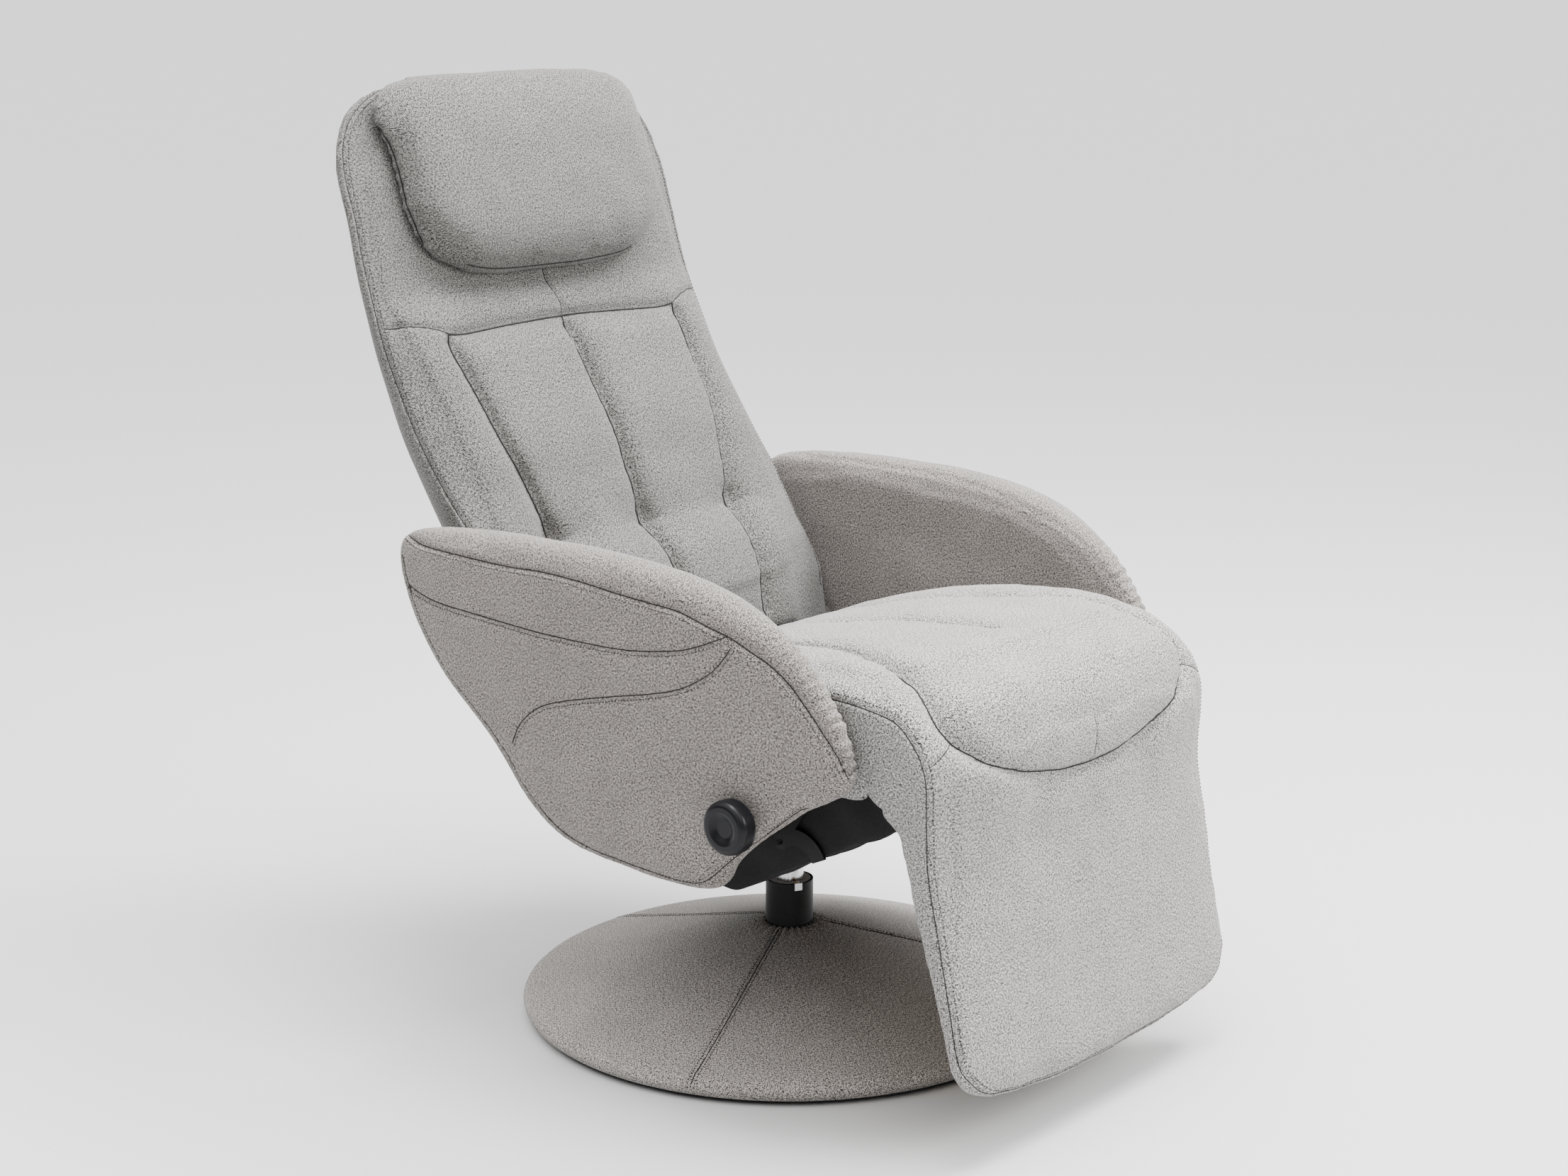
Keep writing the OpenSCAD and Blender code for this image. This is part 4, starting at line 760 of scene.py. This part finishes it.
side_top = [(0.125, 0.10), (0.126, 0.03), (0.129, -0.05), (0.138, -0.133), (0.144, -0.159),
            (0.150, -0.202), (0.161, -0.235), (0.173, -0.266), (0.185, -0.316)]
side_round = [(0.200, 76), (0.208, 57), (0.202, 37), (0.185, 23), (0.158, 9), (0.109, -5),
              (0.062, -12)]
sweep = side_round + [(0.0, -15)] + [(-x, a) for x, a in reversed(side_round)]
border = seat_line(from_above(seat_skin, side_top), round_hinge(seat_skin, sweep),
                   from_above(seat_skin, [(-x, y) for x, y in reversed(side_top)]))
seat_sewing.seam(*border, 0.0052, 0.0058, pucker=0.0014, wave=0.019, reach=0.024, thread=0.0009,
                 seed=1)
middle = seat_line(from_above(seat_skin, [(0, y) for y in (0.10, 0, -0.08, -0.16, -0.23, -0.29)]))
seat_sewing.seam(*middle, 0.0035, 0.005, pucker=0.0008, wave=0.02, reach=0.018, thread=0.0005,
                 seed=2)
short = seat_line(round_hinge(seat_skin, [(0.0, 22), (0.0, 8), (0.0, -4), (0.0, -14)]))
seat_sewing.seam(*short, 0.0012, 0.003, thread=0.0004, seed=3)
for s in (-1, 1):
    spur = seat_line(round_hinge(seat_skin, [(s * x, a) for x, a in (
        (0.2025, 38), (0.214, 33), (0.226, 28), (0.2415, 22))]))
    seat_sewing.seam(*spur, 0.0014, 0.0026, thread=0.0005, seed=4 + s)

# the side seams with their flat piping, from between the arms to the footrest's lower edge
foot_side = [(0.383, 0.351), (0.385, 0.303), (0.392, 0.266), (0.402, 0.222), (0.414, 0.163),
             (0.425, 0.110)]
edge_paths = []
for s in (-1, 1):
    path = [(s * 0.2495, y, z) for y, z in ((-0.10, 0.437), (-0.17, 0.448), (-0.234, 0.456))]
    path += [(s * 0.2475, -0.290, 0.4565)]
    for a, r in ((78, 0.066), (60, 0.058), (42, 0.0555), (24, 0.0538), (6, 0.0535), (-10, 0.054)):
        a = math.radians(a)
        path.append((s * 0.2462, hinge[1] - r * math.cos(a), hinge[2] + r * math.sin(a)))
    path += [(s * (0.2465 - 0.0005 * k), -y, z) for k, (y, z) in enumerate(foot_side)]
    edge_paths.append(path)
lower = [(-0.238, 0.094), (-0.222, 0.080), (-0.205, 0.0695), (-0.163, 0.060), (-0.130, 0.0565),
         (-0.047, 0.0545)]
lower += [(-x, z) for x, z in reversed(lower)]
whole = edge_paths[0] + [(x, -0.437, z) for x, z in lower] + edge_paths[1][::-1]
run, out = settle(seat_skin, curve_through(whole, 0.003))
run = evened(run, 8)
run, out = settle(seat_skin, run)
seat_sewing.seam(run, out, 0.0016, 0.003, pucker=0.0009, wave=0.013, reach=0.016,
                 rows=(0.0068,), thread=0.0006, seed=9)

seat_seam_shadows_and_stitches = seat_sewing.close()
low_angle = math.radians(-16)
flap_y = -0.312
top_way = np.array([0, 1.0, 0])
low_way = np.array([0, -math.sin(low_angle), -math.cos(low_angle)])


def score(piece, at, way):
    """Draws an edge round a piece where a plane meets it."""
    with editing(piece):
        bpy.ops.mesh.select_all(action="SELECT")
        bpy.ops.mesh.bisect(plane_co=tuple(at), plane_no=tuple(way))


score(seat, hinge, top_way)
score(seat, hinge, low_way)


def taken(source, name, keep):
    """A closed piece made of those faces of a scored body that the rule keeps."""
    mesh = source.data
    co = points_of(source)
    chosen_faces = np.where(keep(read_all(mesh.polygons, "center").astype(float)))[0]
    faces = [tuple(mesh.polygons[int(i)].vertices) for i in chosen_faces]
    used = sorted({v for f in faces for v in f})
    place = {v: i for i, v in enumerate(used)}
    piece = new_mesh(name, co[used], [tuple(place[v] for v in f) for f in faces])
    outer = len(piece.data.polygons)
    shade(piece, seat_cloth)
    fill_holes(piece)
    for f in piece.data.polygons[outer:]:
        f.use_smooth = False
    lay_weave(piece, 0.8)
    return piece


def is_foot(c):
    return ((c - hinge) @ low_way > 0) & (c[:, 1] < flap_y)


def is_roll(c):
    return (c[:, 1] < hinge[1]) & ((c - hinge) @ low_way < 0)


def is_seat(c):
    return ~is_foot(c) & ~is_roll(c)


def strip_of(source, name, planes):
    """A copy of a sewn line, cut by planes: (point, direction of the side that goes)."""
    piece = placed(source.copy())
    piece.data = source.data.copy()
    piece.name = name
    with editing(piece):
        for at, way in planes:
            bpy.ops.mesh.select_all(action="SELECT")
            bpy.ops.mesh.bisect(plane_co=tuple(at), plane_no=tuple(way), clear_outer=True)
    return piece


def fix_on(piece, body):
    """The piece rides on a body, or, where it has none, keeps its place with its transform applied.
    """
    if body:
        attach(piece, body)
    else:
        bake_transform(piece)


parts_of_seat = (
    ("seat_pad", is_seat, "chassis", "seat_cushion", [(hinge, -top_way)]),
    ("roll_pad", is_roll, None, "front_roll", [(hinge, top_way), (hinge, low_way)]),
    ("foot_cushion", is_foot, "footrest", "foot_pad",
     [(hinge, -low_way), ((0, flap_y, 0), top_way)]),
)
for name, rule, body, hidden, planes in parts_of_seat:
    part = taken(seat, name, rule)
    fix_on(part, body)
    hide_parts(hidden)
    for thread in seat_seam_shadows_and_stitches:
        strip = strip_of(thread, name + thread.name.replace("seat_and_footrest", ""), planes)
        if len(strip.data.vertices):
            fix_on(strip, body)
        else:
            bpy.data.objects.remove(strip)
for piece in seat_seam_shadows_and_stitches + [seat]:
    bpy.data.objects.remove(piece)

# round ends of the roll's stuffing, about the hinge line, so that they look the same at any angle
knuckle_from, knuckle_to, knuckle_r = 0.205, 0.2425, 0.034
for side, word in ((-1, "right"), (1, "left")):
    rows = []
    for t in np.linspace(-1, 1, 25):
        x = side * ((knuckle_from + knuckle_to) / 2 + t * (knuckle_to - knuckle_from) / 2)
        r = knuckle_r * max(0.02, (1 - abs(t) ** 5)) ** 0.3
        rows.append([(x, hinge[1] + r * math.cos(a), hinge[2] + r * math.sin(a))
                     for a in np.linspace(0, 2 * math.pi, 72, endpoint=False)])
    knuckle = sheet_mesh("roll_end_" + word, rows, closed=True)
    fill_holes(knuckle, turn_out=True)
    crumple(knuckle, 0.0012, 0.03, 71.0 + side)
    lay_weave(knuckle, 0.8)
    shade(knuckle, seat_cloth)
    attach(knuckle, "chassis")

# Back: one tall foam cushion whose cloth is drawn over the curved rear as well. Two channels
# and a middle seam run up to a yoke, three tufts draw the small of the back in, and a
# topstitched seam goes up each side.

back_low, back_rise, back_start, back_reach, back_wide = 0.385, 0.641, 0.155, 0.310, 0.520
back_bends = [(0, 0), (0.07, 0.09), (0.145, 0.175), (0.245, 0.245), (0.415, 0.338), (0.585, 0.456),
              (0.708, 0.576), (0.792, 0.687), (0.858, 0.796), (0.928, 0.893), (1, 1)]


def back_at(v):
    """A place on the back's side line, as (Y, Z)."""
    t = max(0.0, min(1.0, v)) * (len(back_bends) - 1)
    i = min(int(t), len(back_bends) - 2)
    f = t - i
    last = len(back_bends) - 1
    a, b, c, d = (np.array(back_bends[max(0, min(k, last))]) for k in (i - 1, i, i + 1, i + 2))
    q = 0.5 * (2 * b + (c - a) * f + (2 * a - 5 * b + 4 * c - d) * f * f
               + (3 * b - a - 3 * c + d) * f ** 3)
    return np.array([back_start + q[0] * back_reach, back_low + q[1] * back_rise])


def back_out(v):
    """The direction straight out of the back's front there."""
    a, b = back_at(min(1, v + 0.01)), back_at(max(0, v - 0.01))
    u = (a - b) / np.linalg.norm(a - b)
    return np.array([-u[1], u[0]])


def back_v(z):
    """How far up the back a height is."""
    vs = np.linspace(0, 1, 101)
    return float(np.interp(z, [back_at(v)[1] for v in vs], vs))


def on_back(skin, places):
    """Points of the back's front at (X, height on the side line)."""
    starts, ways = [], []
    for x, z in places:
        v = back_v(z)
        p, o = back_at(v), back_out(v)
        starts.append((x, p[0] + o[0] * 0.16, p[1] + o[1] * 0.16))
        ways.append((0, -o[0], -o[1]))
    return shoot(skin, starts, ways)


rear_shares = [(0, 0.45), (0.04, 0.62), (0.12, 0.82), (0.25, 0.94), (0.35, 0.92), (0.5, 0.76),
               (0.6, 0.62), (0.72, 0.49), (0.85, 0.37), (0.95, 0.27), (1, 0.16)]
rear_depth = 0.128


def back_half(v):
    grow = (0.935 + 0.065 * v / 0.35) if v < 0.35 else 1
    return back_wide / 2 * grow * (1 - max(0, (v - 0.78) / 0.235) ** 4) ** 0.385


rows = []
for v in np.concatenate([np.linspace(0.03, 0.9, 70), np.linspace(0.91, 1.0, 16)]):
    depth = rear_depth * np.interp(v, *zip(*rear_shares))
    p, o = back_at(v), back_out(v)
    ring = [(back_half(v) * math.cos(a), -depth * math.sin(a)) for a in np.linspace(0, math.pi, 60)]
    ring += [(-back_half(v) * x, 0.0) for x in (0.9, 0.5, 0.0, -0.5, -0.9)]
    rows.append([(x, p[0] + o[0] * f, p[1] + o[1] * f) for x, f in ring])
rear_form = sheet_mesh("rear_form", rows, closed=True)
fill_holes(rear_form, turn_out=True)
back = stuffing("back_pad", ["back_cushion"], 0.006, 0.0032, 12, extra=[rear_form])
swell(back, 0.006)
crumple(back, 0.0016, 0.07, 8.0)
# its lower corners reach down and out to the seat and the arms
co = points_of(back)
co[:, 2] -= 0.056 * ease(np.abs(co[:, 0]), 0.175, 0.05) * np.clip((0.485 - co[:, 2]) / 0.07, 0, 1)
co[:, 0] += 0.024 * np.sign(co[:, 0]) * ease(np.abs(co[:, 0]), 0.19, 0.03) * np.clip(
    (0.50 - co[:, 2]) / 0.06, 0, 1)
set_points(back, co)
back_skin = skin_of(back)
back_sewing = Sewing(back)


def back_line(places, step=0.002):
    hits, _ = on_back(back_skin, places)
    run = curve_through(hits, step)
    return settle(back_skin, run)


channel = [(0.130, 0.40), (0.134, 0.44), (0.138, 0.485), (0.147, 0.53), (0.162, 0.578),
           (0.174, 0.622), (0.179, 0.672), (0.184, 0.715), (0.183, 0.735), (0.1815, 0.7455)]
furrow = dict(depth=0.0070, width=0.0075, pucker=0.0014, wave=0.022, reach=0.026, thread=0.0011)
for s in (-1, 1):
    back_sewing.seam(*back_line([(s * x, z) for x, z in channel]), seed=20 + s, **furrow)
back_sewing.seam(*back_line([(0, z) for z in (0.40, 0.46, 0.53, 0.58, 0.64, 0.70, 0.748)]), seed=24,
                 **furrow)
back_sewing.seam(*back_line([(0, z) for z in (0.75, 0.78, 0.81)]), 0.0022, 0.004, thread=0.0005,
                 seed=25)
yoke = [(-0.181, 0.744), (-0.160, 0.7435), (-0.10, 0.746), (-0.05, 0.7475)]
yoke += [(0, 0.748)] + [(-x, z) for x, z in reversed(yoke)]
back_sewing.seam(*back_line(yoke), 0.0055, 0.0062, pucker=0.0009, wave=0.024, reach=0.022,
                 thread=0.0011, seed=26)
for s in (-1, 1):
    side = ((0.181, 0.744), (0.204, 0.754), (0.229, 0.7605), (0.250, 0.763))
    back_sewing.seam(*back_line([(s * x, z) for x, z in side]), 0.003, 0.0045, pucker=0.0006,
                     reach=0.016, thread=0.0006, seed=27 + s)


def tuft(skin, piece, x, z, depth, wide, tall):
    """A place where a hidden thread draws the cushion in."""
    (at,), _ = on_back(skin, [(x, z)])
    o = back_out(back_v(z))
    out = np.array([0, o[0], o[1]])
    down = np.array([0, -o[1], o[0]])
    co = points_of(piece)
    d = co - at
    far = ((d[:, 0] / wide) ** 2 + ((d @ down) / tall) ** 2)
    in_front = np.abs(d @ out) < 0.06
    drop = depth * np.exp(-far) * in_front
    ray = np.arctan2(d @ down, d[:, 0])
    fold = 0.0016 * np.exp(-far * 0.35) * np.sin(ray * 7) * in_front * np.minimum(1, far * 2)
    set_points(piece, co - out[None] * (drop + fold)[:, None])


for side in (-1, 1):
    hits = []
    for v in np.linspace(0.06, 0.985, 70):
        p, o = back_at(v), back_out(v)
        start = (side * (back_half(v) + 0.05), p[0] + o[0] * 0.001, p[1] + o[1] * 0.001)
        hit, n, _, _ = back_skin.ray_cast(Vector(start), Vector((-side, 0, 0)))
        if hit is not None:
            hits.append(hit[:])
    run, out = settle(back_skin, curve_through(evened(np.array(hits), 4), 0.003))
    back_sewing.seam(run, out, 0.0016, 0.0026, pucker=0.0005, wave=0.014, reach=0.010,
                     rows=(side * 0.006,), thread=0.0005, seed=30 + side)

for x in (-0.147, 0.0, 0.147):
    tuft(back_skin, back, x, 0.532, 0.010, 0.016, 0.011)
back_seam_shadows_and_stitches = back_sewing.close()

# the back's darker cloth is painted shade
upholster(back, back_cloth, back_seam_shadows_and_stitches, "back", ["back_cushion", "back_panel"], 0.8)

# Head cushion: a soft pillow sewn on the upper back. It folds over the back's top, and
# small pleats show where its front is eased into the side seam.

head = stuffing("head_pad", ["head_cushion"], 0.005, 0.003, 10)
swell(head, 0.007)
crumple(head, 0.0014, 0.05, 21.0)


def fuller(co):
    """The photograph's fuller front, rounder lower corners and wide fold over the back's top."""
    o = back_out(back_v(0.90))
    out, up = np.array([0, o[0], o[1]]), np.array([0, o[1], -o[0]])
    deep, high, wide = co @ out, co @ up, np.abs(co[:, 0])
    front = np.clip((deep - deep.max() + 0.060) / 0.050, 0, 1)
    low_corner = np.clip((high.min() + 0.085 - high) / 0.085, 0, 1) * np.clip(
        (wide - wide.max() + 0.075) / 0.075, 0, 1)
    co = co + out[None] * (0.013 * front)[:, None]
    co[:, 0] -= 0.020 * np.sign(co[:, 0]) * low_corner
    co[:, 0] *= 1 + 0.16 * np.clip((high - high.max() + 0.085) / 0.070, 0, 1) * (1 - front)
    return co + up[None] * (0.012 * low_corner)[:, None]


set_points(head, fuller(points_of(head)))
head_skin = skin_of(head)
head_sewing = Sewing(head)
low_v, high_v = (back_v(z) for z in (0.80, 1.0))


def head_side(side):
    """Where the head cushion's side meets the back, from its top down."""
    hits = []
    for v in np.linspace(high_v + 0.04, low_v + 0.03, 50):
        p, o = back_at(v), back_out(v)
        start = (side * 0.14, p[0] + o[0] * 0.2, p[1] + o[1] * 0.2)
        front, _, _, _ = head_skin.ray_cast(Vector(start), Vector((0, -o[0], -o[1])))
        if front is None:
            continue
        deep = (front[1] - p[0]) * o[0] + (front[2] - p[1]) * o[1] - 0.042
        start = (side * 0.33, p[0] + o[0] * deep, p[1] + o[1] * deep)
        hit, _, _, _ = head_skin.ray_cast(Vector(start), Vector((-side, 0, 0)))
        if hit is not None:
            hits.append(hit[:])
    return evened(np.array(hits), 4)


def head_foot():
    """Where the head cushion's lower edge meets the back."""
    hits = []
    for x in np.linspace(-0.135, 0.135, 28):
        (at,), _ = on_back(back_skin, [(x, 0.77)])
        o = back_out(back_v(0.77))
        hit, _, _, _ = head_skin.ray_cast(Vector(at + np.array([0, o[0], o[1]]) * 0.009),
                                          Vector((0, o[1], -o[0])), 0.12)
        if hit is not None:
            hits.append(hit[:])
    return evened(np.array(hits), 3)


for path, depth, pucker, seed in ((head_side(-1), 0.0026, 0.0026, 61),
                                  (head_foot(), 0.0012, 0.0008, 60),
                                  (head_side(1), 0.0026, 0.0026, 61)):
    if len(path) < 8:
        continue
    run, out = settle(head_skin, curve_through(path, 0.003))
    head_sewing.seam(run, out, depth, 0.0036, pucker=pucker, wave=0.017, reach=0.026, thread=0.0009,
                     seed=seed)
head_seam_shadows_and_stitches = head_sewing.close()
# the head cushion's darker cloth is painted shade
upholster(head, back_cloth, head_seam_shadows_and_stitches, "back", ["head_cushion"], 0.8)

# Arms: leaf-shaped pads of thick foam on a board. A welted seam goes round the outer face,
# which is quilted with two curved rows, and the band is gathered round the front.

outer_seam = [(281, 556), (236, 552), (127, 551), (45, 553), (-19, 549), (-81, 542), (-125, 537),
              (-164, 525), (-186, 517), (-218, 501), (-245, 482), (-272, 452), (-293, 423),
              (-304, 404), (-308, 389)]
lower_seam = [(-304, 373), (-297, 364), (-266, 354), (-235, 331), (-199, 302), (-175, 277),
              (-169, 251), (-134, 251), (-81, 254), (-17, 260), (24, 269), (53, 283), (72, 299),
              (91, 316), (129, 359), (159, 381), (203, 412), (241, 449), (263, 481), (278, 504),
              (284, 535)]
quilt_top = [(278, 504), (227, 494), (145, 492), (71, 489), (1, 488), (-64, 489), (-117, 495),
             (-148, 503), (-182, 518)]
quilt_low = [(99, 361), (89, 382), (59, 407), (21, 421), (-42, 436), (-92, 447), (-132, 459),
             (-163, 477), (-178, 493), (-189, 509)]
inner_seam = [(263, 564), (200, 569), (105, 571), (39, 571), (-25, 568), (-75, 563), (-115, 555),
              (-155, 545), (-184, 535), (-213, 520), (-238, 498), (-259, 480), (-280, 456),
              (-294, 429), (-300, 413), (-303, 391), (-297, 370)]


def on_arm(skin, side, places, outer=True):
    """Points of an arm's outer or inner face at these (Y, Z) in mm."""
    start, way = (0.45, -side) if outer else (0.12, side)
    starts = [(side * start, y / 1000, z / 1000) for y, z in places]
    return shoot(skin, starts, [(way, 0, 0)] * len(places))


gather_high, gather_pitch = 0.0014, 0.0125


def gather(piece, line, side):
    """Fine folds across an arm's front band, where the cloth is eased round the bend."""
    co = points_of(piece)
    out = normals_of(piece)
    s = lengths_along(line)
    flat = tree_of(line * (0, 1, 1))
    for i in np.where((co[:, 1] < -0.17) & (co[:, 2] > 0.36) & (np.abs(out[:, 0]) < 0.93))[0]:
        _, k, d = flat.find(Vector((0, co[i, 1], co[i, 2])))
        amount = math.exp(-(d / 0.03) ** 2) * min(1, max(0, (-0.18 - line[k, 1]) / 0.06))
        amount *= min(1, (1 - abs(out[i, 0])) * 3) * min(1, (co[i, 2] - 0.36) / 0.03)
        bend = 1.6 * noise.noise(Vector((s[k] * 45, side, 0.3)))
        bend += 0.5 * noise.noise(Vector(co[i]) * 40)
        fold = math.sin(2 * math.pi * s[k] / gather_pitch + 2.2 * bend)
        co[i] += out[i] * gather_high * amount * fold * (0.6 + 0.8 * abs(bend))
    set_points(piece, co)


for side, word in ((-1, "right"), (1, "left")):
    arm = stuffing("arm_" + word, ["arm_pad_" + word], 0.0055, 0.003, 10)
    swell(arm, 0.005)
    crumple(arm, 0.0011, 0.06, 30.0 + side)
    # its inner rear edge is fuller, so that no gap shows beside the back
    co = points_of(arm)
    facing = normals_of(arm) @ np.array([0, 0.8, -0.6])
    inside = np.clip((0.306 - np.abs(co[:, 0])) / 0.025, 0, 1) * ease(co[:, 1], 0.05, 0.08)
    co += np.array([0, 0.014, -0.006]) * (inside * np.clip(facing + 0.1, 0, 1) ** 0.7)[:, None]
    set_points(arm, co)
    arm_skin = skin_of(arm)
    sewing = Sewing(arm)
    for k, (path, outer, depth, width, rows) in enumerate((
            (outer_seam, True, 0.0030, 0.0042, (0.0055,)),
            (lower_seam, True, 0.0026, 0.004, (0.0055,)),
            (quilt_top, True, 0.0026, 0.0046, (0.0045,)),
            (quilt_low, True, 0.0024, 0.0046, (0.0045,)),
            (inner_seam, False, 0.0010, 0.0040, ()))):
        hits, _ = on_arm(arm_skin, side, path, outer)
        run, out = settle(arm_skin, curve_through(hits))
        sewing.seam(run, out, depth, width, pucker=0.0012 if outer else 0.0004,
                    wave=0.012, reach=0.018, rows=[side * r for r in rows],
                    thread=0.0006 if outer else 0, seed=40 + k)
    hits, _ = on_arm(arm_skin, side, outer_seam)
    gather(arm, curve_through(hits), side)
    arm_seam_shadows_and_stitches = sewing.close()
    # the arms' darker cloth is painted shade
    upholster(arm, arm_cloth, arm_seam_shadows_and_stitches, "chassis", ["arm_pad_" + word], 0.6)

# Cover under the seat: thin black lining cloth that hangs round the mechanism, open at the
# top and the front.

lining = plain_shade("black_lining", (0.013, 0.013, 0.014), 0.85, 420, 0.0004)
lining.node_tree.nodes["Principled BSDF"].inputs["Specular IOR Level"].default_value = 0.15
cover_wide = 0.2005
floor_line = curve_through([(0, -0.318, 0.3235), (0, -0.200, 0.264), (0, -0.112, 0.2165),
                            (0, -0.085, 0.2075), (0, 0.0, 0.2070), (0, 0.098, 0.2075),
                            (0, 0.150, 0.219), (0, 0.222, 0.2575), (0, 0.229, 0.285),
                            (0, 0.231, 0.3175)], 0.006)
top_line = curve_through([(0, -0.318, 0.3705), (0, -0.27, 0.357), (0, -0.16, 0.347),
                          (0, 0.0, 0.334), (0, 0.117, 0.3225), (0, 0.18, 0.320),
                          (0, 0.231, 0.3185)], 0.006)
pick = np.linspace(0, 1, len(floor_line))
top_line = at_lengths(pick, np.linspace(0, 1, len(top_line)), top_line)
rows = []
for k, (low, top) in enumerate(zip(floor_line, top_line)):
    row = []
    for t in np.linspace(1, 0, 22, endpoint=False):
        q = low + (top - low) * t
        row.append((-cover_wide, q[1], q[2]))
    for x in np.linspace(-cover_wide, cover_wide, 64):
        sag = 0.004 * (1 - (x / cover_wide) ** 2) * math.sin(math.pi * min(1, pick[k] * 1.2))
        row.append((x, low[1], low[2] - sag * 0.3))
    for t in np.linspace(0, 1, 22)[1:]:
        q = low + (top - low) * t
        row.append((cover_wide, q[1], q[2]))
    rows.append(row)
cover = sheet_mesh("under_seat_cloth", rows)
finish_with(cover, "SMOOTH", factor=0.5, iterations=3)
crumple(cover, 0.0040, 0.038, 51.0)
finish_with(cover, "SOLIDIFY", thickness=0.0012, offset=0)
lay_weave(cover, 0.72)
cover.data.materials.append(lining)
choose(cover)
bpy.ops.object.shade_smooth_by_angle(angle=math.radians(50))
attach(cover, "chassis")
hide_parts("underseat_cover")

# Metal, plastic and wood that keep their CAD shapes: each gets its finish.


def finish_metal(name, colour, rough, metallic, grain, depth, scratches=(1, 1, 1), coat=0.0):
    made = plain_shade(name, colour, rough, grain, depth)
    tree = made.node_tree
    feed(tree, tree.nodes["Principled BSDF"], Metallic=metallic, Coat_Weight=coat,
         Specular_IOR_Level=0.5 if metallic else 0.14)
    speck = next(n for n in tree.nodes if n.type == "TEX_NOISE")
    place = next(n for n in tree.nodes if n.type == "TEX_COORD")
    lengthen = node(tree, "ShaderNodeMapping", Scale=scratches, Vector=place.outputs["Object"])
    feed(tree, speck, Vector=lengthen.outputs[0])
    return made


finishes = {name: finish_metal(name, *values) for name, *values in (
    ("black_enamel", (0.007, 0.007, 0.0075), 0.45, 0.0, 260, 0.00012),
    ("bright_steel", (0.58, 0.58, 0.59), 0.26, 1.0, 380, 0.00004, (1, 1, 0.06)),
    ("gloss_black", (0.005, 0.005, 0.0065), 0.36, 0.0, 700, 0.00005, (1, 1, 1), 0.04),
    ("moulded_black", (0.016, 0.016, 0.016), 0.55, 0.0, 900, 0.0001),
    ("pale_plastic", (0.68, 0.67, 0.62), 0.45, 0.0, 300, 0.00005),
    ("pressed_shell", (0.22, 0.22, 0.215), 0.6, 0.0, 300, 0.0001),
    ("brass_insert", (0.72, 0.5, 0.22), 0.3, 1.0, 400, 0.00005),
    ("plywood", (0.5, 0.36, 0.21), 0.6, 0.0, 60, 0.0003, (0.15, 1, 1)),
)}
slots = {s["node"]: s["material_slot"] for s in frame["record"]["subparts"]}
for name, solid in frame["nodes"].items():
    # the lining is drawn over the seat board's edge
    finish = lining if name == "seat_board" else finishes.get(slots[name])
    if finish:
        solid.data.materials.clear()
        solid.data.materials.append(finish)

low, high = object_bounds()
